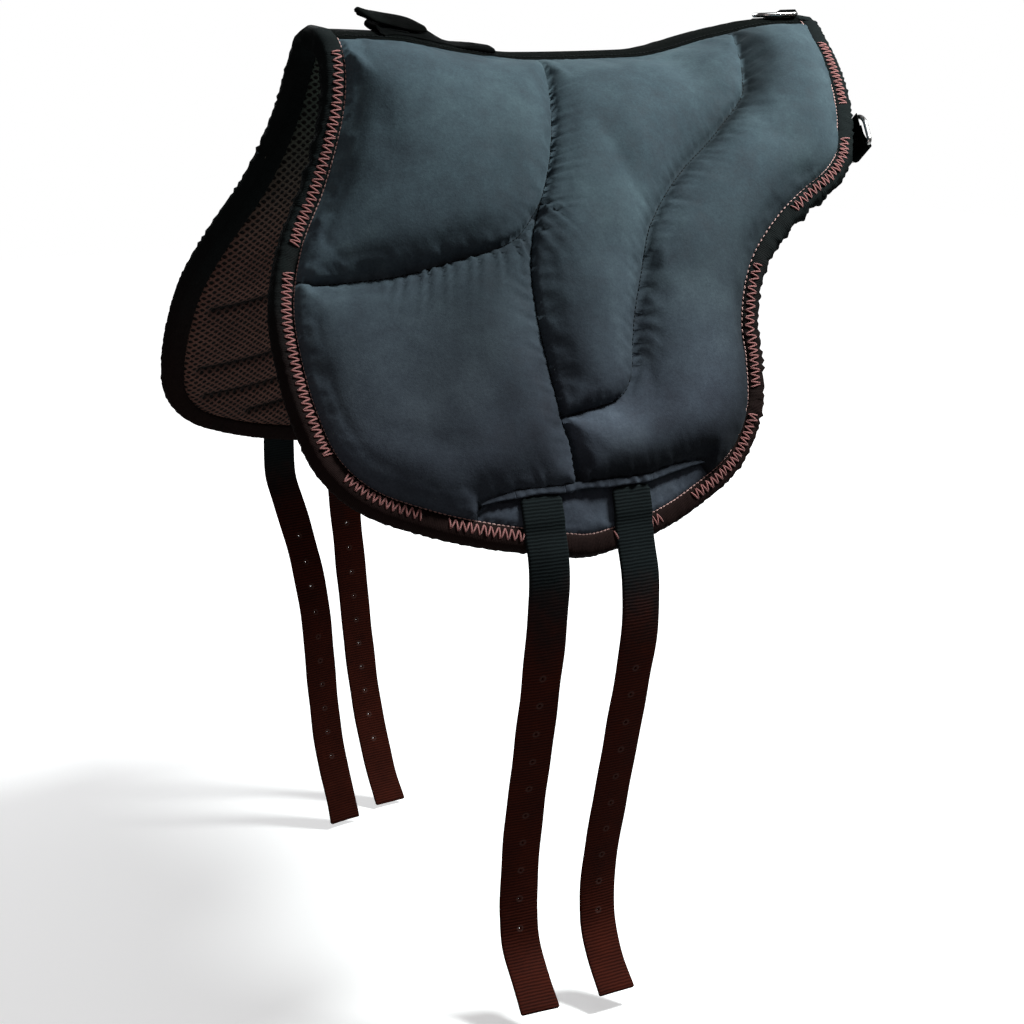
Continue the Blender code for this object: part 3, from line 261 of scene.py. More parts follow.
def smooth_path(points):
    """Catmull-Rom curve through a table of points."""
    points = np.asarray(points, float)
    ends = np.vstack([2 * points[0] - points[1], points, 2 * points[-1] - points[-2]])
    curve = []
    for i in range(1, len(ends) - 2):
        a, b, c, d = ends[i - 1:i + 3]
        for t in np.arange(CURVE_STEPS) / CURVE_STEPS:
            bend = 2 * a - 5 * b + 4 * c - d
            twist = 3 * b - a - 3 * c + d
            curve.append((2 * b + (c - a) * t + bend * t * t + twist * t ** 3) / 2)
    curve.append(points[-1])
    return np.array(curve)


def lengths_along(path):
    return np.concatenate([[0], np.cumsum(np.linalg.norm(np.diff(path, axis=0), axis=1))])


def resample(path, count):
    """The given number of points, evenly spaced along a path."""
    run = lengths_along(path)
    marks = np.linspace(0, run[-1], count)
    return np.stack([np.interp(marks, run, path[:, k]) for k in range(path.shape[1])], axis=1)


def from_shares(table):
    return np.array(table) * (PAD_LENGTH, PAD_DROP)


def seam_line(table, step=SEAM_STEP):
    path = smooth_path(from_shares(table))
    return resample(path, 1 + round(lengths_along(path)[-1] / step))


def unit(vectors):
    return vectors / np.linalg.norm(vectors, axis=-1)[..., None]


def mirror(side):
    """What turns places of the near side into places of the given side."""
    return np.array((1, -1, 1) if side > 0 else (1, 1, 1))


def read_along(marks, run, rows):
    """Rows of values at places along a run."""
    return np.stack([np.interp(marks, run, rows[:, k]) for k in range(rows.shape[1])], axis=1)


class Drape:
    """The core's outer face in space, built by adding up the side's slope from the spine down."""

    def __init__(self):
        self.along = np.linspace(-1, 1, DRAPE_STATIONS) * PAD_LENGTH
        self.down = np.linspace(0, DRAPE_REACH_SHARE, DRAPE_STEPS) * PAD_DROP
        at_stations = [smooth_value(SECTION_SHARES, row, self.down / PAD_DROP) for row in STATION_SLOPES]
        stations = np.array(STATION_SHARES)
        self.out = []
        self.fall = []
        for share in np.clip(self.along / PAD_LENGTH, stations[0], stations[-1]):
            k = 0 if share < stations[1] else 1
            t = (share - stations[k]) / (stations[k + 1] - stations[k])
            blend = t * t * (3 - 2 * t)
            slope = np.radians(at_stations[k] * (1 - blend) + at_stations[k + 1] * blend)
            self.out.append(self.add_up(np.cos(slope)))
            self.fall.append(self.add_up(np.sin(slope)))
        self.out = np.array(self.out)
        self.fall = np.array(self.fall)
        heights = smooth_value(SPINE_PLACE_SHARES, SPINE_HEIGHT_SHARES, self.along / PAD_LENGTH)
        self.spine = heights * SPINE_RISE + CORE_THICK + CLEARANCE + LINING_THICK

    def add_up(self, rate):
        steps = np.diff(self.down) * (rate[1:] + rate[:-1]) / 2
        return np.concatenate([[0], np.cumsum(steps)])

    def base(self, flat):
        """Points on the core's outer face. A negative distance down is on the far side of the spine."""
        flat = np.atleast_2d(flat)
        i = np.clip(flat[:, 0] - self.along[0], 0, None) / (self.along[1] - self.along[0])
        j = np.abs(flat[:, 1]) / self.down[1]
        i0 = np.clip(i.astype(int), 0, DRAPE_STATIONS - 2)
        j0 = np.clip(j.astype(int), 0, DRAPE_STEPS - 2)
        a = i - i0
        b = j - j0

        def read(table):
            front = table[i0, j0] * (1 - b) + table[i0, j0 + 1] * b
            rear = table[i0 + 1, j0] * (1 - b) + table[i0 + 1, j0 + 1] * b
            return front * (1 - a) + rear * a

        height = np.interp(flat[:, 0], self.along, self.spine) - read(self.fall)
        return np.stack([flat[:, 0], -np.sign(flat[:, 1]) * read(self.out), height], axis=1)

    def normal(self, flat):
        flat = np.atleast_2d(flat)
        probe = self.down[1] * 2
        run = self.base(flat + (probe, 0)) - self.base(flat - (probe, 0))
        dip = self.base(flat + (0, probe)) - self.base(flat - (0, probe))
        return unit(np.cross(dip, run))

    def lift(self, flat, height):
        """Points at a height off the core's outer face."""
        flat = np.atleast_2d(flat)
        height = np.broadcast_to(height, len(flat))
        return self.base(flat) + self.normal(flat) * height[:, None]


DRAPE = Drape()

# Heights off the core's outer face
SEAM_TOP = CLEARANCE + COVER_THICK
LEG_TOP = SEAM_TOP + CLEARANCE
LINING_TOP = -CORE_THICK - CLEARANCE
LINING_FACE = LINING_TOP - LINING_THICK
LEG_BOTTOM = LINING_FACE - CLEARANCE


# The flat side: its edge, its seams and its triangles

def outline_samples(count):
    """Places round the outer edge, and the flat direction inwards at each, as the part's source has them."""
    path = smooth_path(from_shares(OUTLINE_SHARES))
    middle = len(path) // 2
    ends = []
    for part in (path[:middle], path[:middle:-1]):
        rows = [(np.interp(down, part[:, 1], part[:, 0]), down) for down in (CLEARANCE / 2, TAPE_HALF / 2, TAPE_HALF)]
        ends.append(np.array(rows))
    front, rear = ends
    below = path[path[:, 1] > TAPE_HALF]
    body = resample(np.vstack([front[-1], below, rear[-1]]), count)
    samples = np.vstack([front[:-1], body, rear[-2::-1]])
    run = np.gradient(samples, axis=0)
    inward = np.stack([run[:, 1], -run[:, 0]], axis=1)
    inward[:3] = (1, 0)
    inward[-3:] = (-1, 0)
    return samples, unit(inward)


# The bottom of the edge, which the billets cross, in coarse steps
BOTTOM_EDGE = outline_samples(48)[0][12:34]
SAMPLES, INWARD = outline_samples(380)


def ring(inset, top=None):
    moved = SAMPLES + INWARD * inset
    if top is None:
        return moved
    moved = moved[2:-2].copy()
    moved[[0, -1], 1] = top
    return moved


def closed_with_top(edge, count):
    """A side's inner line, closed along the spine."""
    places = np.linspace(edge[-1, 0], edge[0, 0], count + 2)[1:-1]
    return np.vstack([edge, np.stack([places, np.full(count, PANEL_TOP)], axis=1), edge[:1]])


PANEL_INNER = ring(BINDING_WIDTH, PANEL_TOP)
FIELD_LOOP = closed_with_top(PANEL_INNER, 130)
BORDER_LOOP = closed_with_top(ring(EDGE_INSET, PANEL_TOP), 140)


def inside(points, loop):
    """Which of the flat points lie inside a closed line."""
    points = np.atleast_2d(points)
    ax, ay = loop[:-1, 0], loop[:-1, 1]
    bx, by = loop[1:, 0], loop[1:, 1]
    found = np.zeros(len(points), bool)
    for k in range(0, len(points), 2000):
        x = points[k:k + 2000, 0][:, None]
        y = points[k:k + 2000, 1][:, None]
        crosses = (ay > y) != (by > y)
        rise = np.where(by == ay, 1, by - ay)
        left = x < ax + (bx - ax) * (y - ay) / rise
        found[k:k + 2000] = (crosses & left).sum(axis=1) % 2 == 1
    return found


def beside_line(points, path):
    """Distance of each flat point to a line, the run along it at the nearest place, and the side it is on."""
    points = np.atleast_2d(points)
    start = path[:-1]
    step = path[1:] - start
    square = np.maximum((step ** 2).sum(axis=1), 1e-12)
    at = lengths_along(path)
    apart, run, side = np.zeros((3, len(points)))
    for k in range(0, len(points), 1500):
        block = points[k:k + 1500]
        t = np.clip(((block[:, None] - start) * step).sum(axis=2) / square, 0, 1)
        away = block[:, None] - (start + t[:, :, None] * step)
        gap = np.linalg.norm(away, axis=2)
        best = gap.argmin(axis=1)
        rows = np.arange(len(block))
        apart[k:k + 1500] = gap[rows, best]
        run[k:k + 1500] = at[best] + t[rows, best] * np.sqrt(square[best])
        side[k:k + 1500] = np.sign(step[best, 0] * away[rows, best, 1] - step[best, 1] * away[rows, best, 0])
    return apart, run, side


def inside_field(path):
    return path[inside(path, FIELD_LOOP) & (beside_line(path, FIELD_LOOP)[0] > SEAM_END)]


def run_on(path, targets, at_start=False):
    """The path, run on at one end to the nearest of the target points, in short steps."""
    end = path[0] if at_start else path[-1]
    target = targets[np.linalg.norm(targets - end, axis=1).argmin()]
    count = max(1, round(float(np.linalg.norm(target - end)) / SEAM_STEP))
    added = end + (target - end) * (np.arange(1, count + 1) / count)[:, None]
    return np.vstack([added[::-1], path] if at_start else [path, added])


def quilting_seams():
    tables = (KNEE_SEAM_SHARES, MIDDLE_SEAM_SHARES, REAR_SEAM_SHARES, LOWER_SEAM_SHARES)
    knee, middle, rear, lower = (inside_field(seam_line(table)) for table in tables)
    row = FIELD_LOOP[len(PANEL_INNER):-1]
    lower = run_on(run_on(lower, PANEL_INNER), PANEL_INNER, at_start=True)
    middle = run_on(run_on(middle, row, at_start=True), lower)
    knee = run_on(run_on(knee, PANEL_INNER, at_start=True), middle)
    rear = run_on(run_on(rear, row, at_start=True), middle)
    return {"knee": knee, "middle": middle, "rear": rear, "lower": lower}


SEAMS = quilting_seams()
MEETING = np.linalg.norm(SEAMS["middle"] - SEAMS["rear"][-1], axis=1).argmin()
CENTRE_LOOP = np.vstack([SEAMS["rear"], SEAMS["middle"][:MEETING][::-1], SEAMS["rear"][:1]])
CHAMBERS = ("front_upper", "front_lower", "centre", "rear", "lower_strip")
FRONT_UPPER, FRONT_LOWER, CENTRE, REAR, LOWER_STRIP = range(5)
# Height of each chamber and width of its shoulder
CROWNS = (
    (FRONT_UPPER_CROWN, CROWN_SHOULDER), (FRONT_LOWER_CROWN, CROWN_SHOULDER), (CENTRE_CROWN, SOFT_SHOULDER),
    (REAR_CROWN, CROWN_SHOULDER), (STRIP_CROWN, STRIP_SHOULDER),
)


def chambers_of(flat):
    """Number of the quilted chamber that holds each flat point."""
    knee, middle, lower = (SEAMS[name] for name in ("knee", "middle", "lower"))
    found = np.where(inside(flat, CENTRE_LOOP), CENTRE, REAR)
    front = flat[:, 0] < np.interp(flat[:, 1], middle[:, 1], middle[:, 0])
    upper = flat[:, 1] < np.interp(flat[:, 0], knee[:, 0], knee[:, 1])
    found = np.where(front, np.where(upper, FRONT_UPPER, FRONT_LOWER), found)
    return np.where(flat[:, 1] > np.interp(flat[:, 0], lower[:, 0], lower[:, 1]), LOWER_STRIP, found)


def shoulder(distance, width):
    rest = 1 - np.clip(np.asarray(distance) / width, 0, 1)
    return np.sqrt(1 - rest ** 2)


def flat_mesh(border, lines, step):
    """Triangles inside a closed border, with the lines as edges. The border's points come first."""
    closed = border
    border = border[:-1]
    points = [tuple(p) for p in border]
    edges = []
    for line in lines:
        first = len(points)
        points += [tuple(p) for p in line]
        edges += [(i, i + 1) for i in range(first, len(points) - 1)]
    low = border.min(axis=0)
    high = border.max(axis=0)
    rows = []
    for j, y in enumerate(np.arange(low[1], high[1], step * math.sqrt(3) / 2)):
        places = np.arange(low[0] + (j % 2) * step / 2, high[0], step)
        rows.append(np.stack([places, np.full_like(places, y)], axis=1))
    free = np.vstack(rows)
    free = free[inside(free, closed)]
    for line in [closed, *lines]:
        free = free[beside_line(free, line)[0] > step * 0.55]
    points += [tuple(p) for p in free]
    flat, _, faces, sources, _, _ = delaunay_2d_cdt(points, edges, [list(range(len(border)))], 1, 1e-6)
    place = {source: i for i, group in enumerate(sources) for source in group}
    order = [place[i] for i in range(len(border))]
    rest = sorted(set(range(len(flat))) - set(order))
    new = {old: i for i, old in enumerate(order + rest)}
    flat = np.array([tuple(flat[i]) for i in order + rest])
    return flat, np.array([[new[i] for i in face] for face in faces])


def mesh_edges(faces):
    pairs = np.sort(np.vstack([faces[:, [0, 1]], faces[:, [1, 2]], faces[:, [2, 0]]]), axis=1)
    return np.unique(pairs, axis=0)


def relaxed(values, faces, held, rounds):
    """Values on a mesh, evened out towards those of their neighbours where they aren't held."""
    pairs = mesh_edges(faces)
    both = np.vstack([pairs, pairs[:, ::-1]])
    count = np.bincount(both[:, 0], minlength=len(values))
    for _ in range(rounds):
        total = np.bincount(both[:, 0], weights=values[both[:, 1]], minlength=len(values))
        values = np.where(held, values, total / np.maximum(count, 1))
    return values


def waves(x, seed, count=5):
    """Uneven waves of about unit height and unit length, from sines that don't repeat together."""
    total = 0
    for k in range(count):
        rate = 0.62 + 0.23 * k + 0.11 * math.sin(7.1 * k + seed)
        total = total + math.sin(1.7 * k + seed) * np.sin(2 * math.pi * rate * x + 2.4 * k * k + 3.3 * seed)
    return total / math.sqrt(count / 2)


# Pieces

def link(obj):
    bpy.context.scene.collection.objects.link(obj)
    return obj


def new_mesh(name, points, faces):
    mesh = bpy.data.meshes.new(name)
    mesh.from_pydata([tuple(p) for p in points], [], [tuple(int(i) for i in f) for f in faces])
    return mesh


def add_piece(name, points, faces, material, body="pad", uv=None):
    """A mesh piece that rides on a body, with its faces outwards and its flat places as a UV map, in metres."""
    mesh = new_mesh(name, points, faces)
    if uv is not None:
        layer = mesh.uv_layers.new(name="flat")
        index = np.zeros(len(mesh.loops), int)
        mesh.loops.foreach_get("vertex_index", index)
        layer.data.foreach_set("uv", np.asarray(uv, float).reshape(-1, 2)[index].ravel())
    work = bmesh.new()
    work.from_mesh(mesh)
    bmesh.ops.recalc_face_normals(work, faces=work.faces[:])
    work.to_mesh(mesh)
    work.free()
    mesh.shade_smooth()
    for face in mesh.polygons:
        if face.loop_total > 4:
            face.use_smooth = False
    mesh.materials.append(material)
    made = link(bpy.data.objects.new(name, mesh))
    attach(made, body)
    return made


def add_values(piece, name, values):
    """Values at a piece's points, which its material reads."""
    piece.data.attributes.new(name, "FLOAT", "POINT").data.foreach_set("value", values)


def add_panel(name, side, flat, faces, top, low, material):
    """A piece of cloth over one side, between two like sheets, with walls along its border."""
    shift = len(flat)
    border = len(BORDER_LOOP) - 1
    walls = []
    for i in range(border):
        j = (i + 1) % border
        walls += [(i, j, j + shift), (i, j + shift, i + shift)]
    every = np.vstack([faces, faces[:, ::-1] + shift, walls])
    return add_piece(name, np.vstack([top, low]) * mirror(side), every, material, uv=np.vstack([flat, flat]))


def grid_faces(rows, columns, wrap=False):
    """Quads over a grid of points, closed round its columns if asked."""
    j = np.arange(rows - 1)[:, None]
    i = np.arange(columns if wrap else columns - 1)[None]
    after = (i + 1) % columns
    quads = np.stack([j * columns + i, (j + 1) * columns + i, (j + 1) * columns + after, j * columns + after], axis=-1)
    return quads.reshape(-1, 4).tolist()


def tube(sections, closed=False):
    """Faces of a body through like closed sections, capped at its ends unless it closes on itself."""
    rows, columns = sections.shape[:2]
    faces = grid_faces(rows, columns, wrap=True)
    last = (rows - 1) * columns
    if closed:
        return faces + [[last + i, i, (i + 1) % columns, last + (i + 1) % columns] for i in range(columns)]
    return faces + [list(range(columns))[::-1], list(range(last, last + columns))]


# A stitch along its length: place, width and height
STITCH_SHAPE = np.array((
    (-0.5, 0.18, -0.7), (-0.42, 0.7, 0.1), (-0.2, 1, 0.75), (0.0, 1, 1), (0.2, 1, 0.75), (0.42, 0.7, 0.1),
    (0.5, 0.18, -0.7),
))


def stitch_rows(name, places, directions, ups, size, material):
    """Stitches of thread: each a low, rounded bar that dips into the cloth at both ends."""
    length, width, height = size
    lengths = np.broadcast_to(length, len(places))[:, None, None]
    directions = unit(directions)
    aside = unit(np.cross(directions, ups))
    ups = np.cross(aside, directions)
    at, wide, high = (STITCH_SHAPE[:, k][None, :, None] for k in range(3))
    turns = 2 * math.pi * np.arange(STITCH_SIDES) / STITCH_SIDES
    middle = places[:, None] + directions[:, None] * (at * lengths) + ups[:, None] * (high * height)
    round_it = (aside[:, None, None] * (np.cos(turns) * width / 2)[:, None]
                + ups[:, None, None] * (np.sin(turns) * width / 2 * 0.8)[:, None])
    points = middle[:, :, None] + round_it * wide[..., None]
    uv = np.stack(np.broadcast_arrays(at * lengths, turns), axis=-1)
    rows = len(STITCH_SHAPE)
    pattern = tube(np.zeros((rows, STITCH_SIDES, 3)))
    faces = []
    for shift in range(0, len(places) * rows * STITCH_SIDES, rows * STITCH_SIDES):
        faces += [[shift + i for i in face] for face in pattern]
    return add_piece(name, points.reshape(-1, 3), faces, material, uv=uv)


# Materials

def srgb(r, g, b):
    return tuple(((c / 255 + 0.055) / 1.055) ** 2.4 if c > 10 else c / 255 / 12.92 for c in (r, g, b))


class Graph:
    """A node tree, with short names for the nodes that the looks need."""

    def __init__(self, tree):
        self.tree = tree

    def link(self, value, socket):
        self.tree.links.new(value, socket)

    def node(self, kind, inputs=None, **settings):
        made = self.tree.nodes.new(f"ShaderNode{kind}")
        for key, value in settings.items():
            setattr(made, key, value)
        for key, value in (inputs or {}).items():
            if isinstance(value, bpy.types.NodeSocket):
                self.link(value, made.inputs[key])
            else:
                made.inputs[key].default_value = value
        return made

    def maths(self, operation, *values):
        return self.node("Math", dict(enumerate(values)), operation=operation).outputs[0]

    def times(self, first, second):
        return self.maths("MULTIPLY", first, second)

    def added(self, value, weight, rest):
        return self.maths("MULTIPLY_ADD", value, weight, rest)

    def weighted(self, *terms):
        """The sum of values times their weights."""
        total = self.times(*terms[-1])
        for value, weight in terms[-2::-1]:
            total = self.added(value, weight, total)
        return total

    def wave(self, value):
        """A sine wave between 0 and 1."""
        return self.added(self.maths("SINE", value), 0.5, 0.5)

    def faded(self, value, low, high, to_low=0.0, to_high=1.0):
        inputs = {0: value, 1: low, 2: high, 3: to_low, 4: to_high}
        return self.node("MapRange", inputs, interpolation_type="SMOOTHSTEP").outputs[0]

    def ramp(self, value, *stops):
        made = self.node("ValToRGB", {0: value})
        while len(made.color_ramp.elements) < len(stops):
            made.color_ramp.elements.new(0.5)
        for element, (place, colour) in zip(made.color_ramp.elements, stops):
            element.position = place
            element.color = (*colour, 1)
        return made.outputs[0]

    def mixed(self, share, first, second, blend="MIX"):
        colours = [(*colour, 1) if isinstance(colour, tuple) else colour for colour in (first, second)]
        made = self.node("Mix", {0: share, 6: colours[0], 7: colours[1]}, data_type="RGBA", blend_type=blend)
        return made.outputs[2]

    def parts(self, vector):
        return self.node("SeparateXYZ", {0: vector}).outputs

    def attribute(self, name):
        return self.node("Attribute", attribute_name=name).outputs["Fac"]


class Look(Graph):
    """A material being made: its shader, and its places in space and on the flat cloth."""

    def __init__(self, name, roughness, metallic=0.0, sheen=0.0, sheen_tint=(1, 1, 1), specular=0.5):
        self.material = bpy.data.materials.new(name)
        self.material.use_nodes = True
        super().__init__(self.material.node_tree)
        self.shader = self.tree.nodes["Principled BSDF"]
        settings = {"Roughness": roughness, "Metallic": metallic, "Specular IOR Level": specular,
                    "Sheen Weight": sheen, "Sheen Roughness": 0.45, "Sheen Tint": (*sheen_tint, 1)}
        for key, value in settings.items():
            self.shader.inputs[key].default_value = value
        spot = self.node("TexCoord")
        self.place = spot.outputs["Object"]
        self.flat = spot.outputs["UV"]

    def noise(self, scale, detail=3.0, rough=0.55):
        inputs = {"Vector": self.place, "Scale": scale, "Detail": detail, "Roughness": rough}
        return self.node("TexNoise", inputs).outputs[0]

    def drift(self, scale, reach):
        """A slow, uneven shift to both sides of nought."""
        return self.times(self.maths("SUBTRACT", self.noise(scale, 2), 0.5), reach)

    def painted_light_below(self, colour, uneven, spread, low, high, tint):
        """The colour with painted warm light low down on the pad, with an uneven border."""
        height = self.added(uneven, spread, self.parts(self.place)[2])
        return self.mixed(self.faded(height, low, high, 1.0, 0.0), colour, tint, "MULTIPLY")

    def done(self, colour, height, distance, strength, roughness=None):
        """The material, given its colour, its bump and how its roughness varies."""
        bump = self.node("Bump", {"Height": height, "Distance": distance, "Strength": strength})
        self.link(bump.outputs[0], self.shader.inputs["Normal"])
        self.link(colour, self.shader.inputs["Base Color"])
        if roughness is not None:
            self.link(roughness, self.shader.inputs["Roughness"])
        return self.material


def suede(name, dark, middle, light, sheen=0.015, specular=0.08, shaded=None):
    """Brushed suede cloth: soft patches where the fibres lie over, fine mottling, a short fibre bump, painted warm
    light low down, and painted light and shade from the points' values; when shaded, painted shade past a line
    instead.
    """
    look = Look(name, 0.85, sheen=sheen, sheen_tint=(0.62, 0.80, 0.88), specular=specular)
    broad = look.noise(9, 4, 0.62)
    nap_and_painted_light = look.noise(55, 4, 0.68)
    fine = look.noise(420, 3, 0.7)
    colour = look.ramp(look.weighted((broad, 0.62), (nap_and_painted_light, 0.38)), (0.30, dark), (0.50, middle), (0.70, light))
    speck = look.ramp(fine, (0.30, (0.80, 0.80, 0.82)), (0.70, (1.16, 1.17, 1.16)))
    colour = look.mixed(0.8, colour, speck, "MULTIPLY")
    # Painted warm fill light low down on the pad
    colour = look.painted_light_below(colour, broad, 0.08, -0.30, -0.02, (1.12, 0.90, 0.98))
    # Painted shade: darkened past a line along x, so only the tip looks lit
    if shaded:
        border = look.faded(look.added(nap_and_painted_light, 0.01, look.parts(look.place)[0]), *shaded)
        colour = look.mixed(border, colour, (0.2, 0.22, 0.2), "MULTIPLY")
    else:
        # Painted light and shade: the colour multiplied by the points' values
        tone = look.ramp(look.attribute("nap_and_painted_light"), (0.0, (0.15, 0.15, 0.155)), (1.0, (1.30, 1.30, 1.30)))
        colour = look.mixed(1.0, colour, tone, "MULTIPLY")
    height = look.weighted((fine, 0.5), (look.noise(1100, 2, 0.6), 0.3), (nap_and_painted_light, 0.9))
    return look.done(colour, height, 0.0006, 0.55, look.faded(nap_and_painted_light, 0.3, 0.7, 0.78, 0.94))


def woven(name, colours, rib, across_rib, painted_warm_light_span=None, rim=None, yarn_share=0.35, painted_warm_light=False):
    """Webbing or tape: ribs across its run, yarns along it, worn lighter on the rib tops, and painted warm light where
    asked: further along it, low down on the pad. UV is in metres.
    """
    look = Look(name, 0.78, specular=0.02)
    along, aside, _ = look.parts(look.flat)
    ribs = look.wave(look.times(look.maths("ADD", along, look.drift(160, rib * 0.5)), 2 * math.pi / rib))
    yarns = look.wave(look.times(aside, 2 * math.pi / across_rib))
    weave = look.weighted((yarns, yarn_share), (ribs, 1 - yarn_share))
    worn = look.noise(38, 5, 0.65)
    fuzz = look.noise(700, 2, 0.6)
    share = look.weighted((weave, 0.45), (worn, 0.5), (fuzz, 0.18))
    colour = look.ramp(share, (0.25, colours[0]), (0.85, colours[1]))
    # Painted warm light: the colours turn reddish brown further along the strap
    if painted_warm_light_span:
        second = look.ramp(share, (0.25, colours[2]), (0.85, colours[3]))
        uneven = look.added(worn, 0.09, look.maths("SUBTRACT", along, 0.045))
        colour = look.mixed(look.faded(uneven, *painted_warm_light_span), colour, second)
    # Painted warm light low down on the pad
    if painted_warm_light:
        colour = look.painted_light_below(colour, worn, 0.12, -0.26, -0.06, (1.9, 0.80, 0.72))
    if rim:
        colour = look.mixed(look.times(look.attribute("rim"), 0.55), colour, rim)
    return look.done(colour, look.added(fuzz, 0.25, weave), 0.0005, 0.5, look.faded(worn, 0.3, 0.75, 0.68, 0.90))


def spacer_mesh(name):
    """Airy spacer mesh: rows of dark cells between pale ridges, in a six-sided net."""
    look = Look(name, 0.8, sheen=0.04, sheen_tint=(0.7, 0.66, 0.64), specular=0.15)
    along, down, _ = look.parts(look.flat)
    drift = look.drift(60, 0.0022)
    x = look.times(look.maths("ADD", along, drift), math.pi / MESH_PITCH)
    y = look.times(look.maths("SUBTRACT", down, drift), math.pi / MESH_ROW)
    slants = [look.maths("ABSOLUTE", look.maths("SINE", look.maths(way, x, y))) for way in ("ADD", "SUBTRACT")]
    ridge = look.faded(look.times(*slants), 0.22, 0.80, 1.0, 0.0)
    yarn = look.noise(900, 2, 0.6)
    tone = look.weighted((look.noise(22, 4, 0.6), 0.5), (yarn, 0.5))
    red = look.ramp(tone, (0.3, srgb(70, 45, 40)), (0.7, srgb(118, 84, 74)))
    green = look.ramp(tone, (0.3, srgb(44, 54, 48)), (0.7, srgb(76, 88, 80)))
    # Painted warm light: green near the spine, turning red lower down
    pale = look.mixed(look.faded(down, 0.08, 0.26), green, red)
    colour = look.mixed(ridge, srgb(6, 3, 3), pale)
    # Painted shade in the creases along the sewn channel rows
    colour = look.mixed(look.attribute("sewn_and_painted_shade"), colour, srgb(5, 3, 3))
    return look.done(colour, look.added(yarn, 0.15, ridge), 0.0016, 0.9)


def thread(name, low, high, sheen=0.25, specular=0.35):
    """Sewing thread, with the turns of its twist and some fading."""
    look = Look(name, 0.6, sheen=sheen, sheen_tint=(0.9, 0.8, 0.78), specular=specular)
    along, turn, _ = look.parts(look.flat)
    strand = look.wave(look.maths("ADD", look.times(along, 2 * math.pi / THREAD_TWIST), turn))
    share = look.weighted((strand, 0.4), (look.noise(90, 4, 0.65), 0.6))
    return look.done(look.ramp(share, (0.2, low), (0.8, high)), strand, 0.00025, 0.8)


def plated_wire(name):
    """Nickel-plated wire: bright, with fine scuffs and dull patches."""
    look = Look(name, 0.2, metallic=1.0)
    scuff = look.noise(260, 5, 0.7)
    colour = look.ramp(look.noise(45, 3, 0.5), (0.3, (0.60, 0.59, 0.57)), (0.7, (0.86, 0.86, 0.85)))
    return look.done(colour, scuff, 0.0001, 0.4, look.faded(scuff, 0.35, 0.75, 0.14, 0.38))


SUEDE = suede("cover_suede", srgb(36, 44, 50), srgb(49, 61, 67), srgb(63, 77, 82))
TONGUE_SUEDE = suede("tongue_suede", srgb(2, 4, 4), srgb(6, 8, 7), srgb(15, 15, 11), sheen=0.0, specular=0.02,
                     shaded=(-0.139, -0.124))
TAPE = woven("spine_tape", (srgb(1, 2, 2), srgb(6, 9, 8)), 0.0022, 0.0020)
BIND_TAPE = woven("binding_tape", (srgb(6, 8, 9), srgb(25, 30, 30)), 0.0014, 0.0012, painted_warm_light=True)
BILLET_WEB = woven("billet_webbing", (srgb(11, 14, 15), srgb(26, 32, 33), srgb(30, 11, 8), srgb(66, 28, 20)), 0.0030,
                   0.0019, painted_warm_light_span=(0.06, 0.17), rim=srgb(84, 66, 62), yarn_share=0.06)
STRAP_WEB = woven("strap_webbing", (srgb(0, 1, 1), srgb(3, 4, 4)), 0.0026, 0.0018)
LINING_MESH = spacer_mesh("lining_mesh")
PINK_THREAD = thread("pink_thread", srgb(88, 46, 45), srgb(160, 100, 96))
PALE_THREAD = thread("pale_thread", srgb(128, 88, 84), srgb(190, 156, 150))
DARK_THREAD = thread("dark_thread", srgb(3, 4, 5), srgb(12, 16, 17), sheen=0.0, specular=0.08)
WIRE = plated_wire("plated_wire")


# Cover

def cover_heights(flat, faces):
    """Lift of the cover: the chambers' crowns, evened out, with seam valleys."""
    apart = np.min([beside_line(flat, line)[0] for line in (FIELD_LOOP, *SEAMS.values())], axis=0)
    within = inside(flat, FIELD_LOOP)
    chamber = chambers_of(flat)
    down = flat[:, 1] / PAD_DROP
    heights = np.zeros(len(flat))
    top_share = np.sin(np.clip((flat[:, 1] - PANEL_TOP) / TOP_SHOULDER, 0, 1) * math.pi / 2)
    for k, (height, width) in enumerate(CROWNS):
        if k == CENTRE:
            width = np.interp(down, (0.17, 0.27), (CRISP_SHOULDER, width))
        heights = np.where(chamber == k, height * np.minimum(shoulder(apart, width), top_share), heights)
    beside_rear = np.clip(beside_line(flat, SEAMS["rear"])[0] / REAR_SLOPE, 0, 1)
    slow = np.minimum(heights, REAR_CROWN * np.sin(beside_rear * math.pi / 2))
    slack = np.interp(down, (0.17, 0.26, 0.36), (1.0, 0.35, 0.15))
    heights = np.where(chamber == REAR, heights + (slow - heights) * slack, heights)
    held = (apart < SEWN_WITHIN) | ~within
    heights = np.where(held, 0, heights)
    heights = np.maximum(relaxed(heights, faces, held, 14), heights * 0.9)
    return heights, apart, held


# Puckers along a seam: name, side, where they start and end as shares of the run, height, reach and pitch
PUCKERS = (
    ("knee", 1, 0.26, 1.0, 0.0036, 0.016, 0.0092), ("knee", -1, 0.30, 1.0, 0.0009, 0.009, 0.011),
    ("middle", -1, 0.10, 0.52, 0.0023, 0.015, 0.0100), ("middle", 1, 0.45, 0.95, 0.0009, 0.009, 0.011),
    ("rear", -1, 0.02, 0.60, 0.0017, 0.013, 0.0105), ("rear", 1, 0.20, 0.95, 0.0008, 0.010, 0.0105),
    ("lower", -1, 0.05, 0.95, 0.0012, 0.010, 0.012), ("lower", 1, 0.05, 0.95, 0.0007, 0.006, 0.010),
)
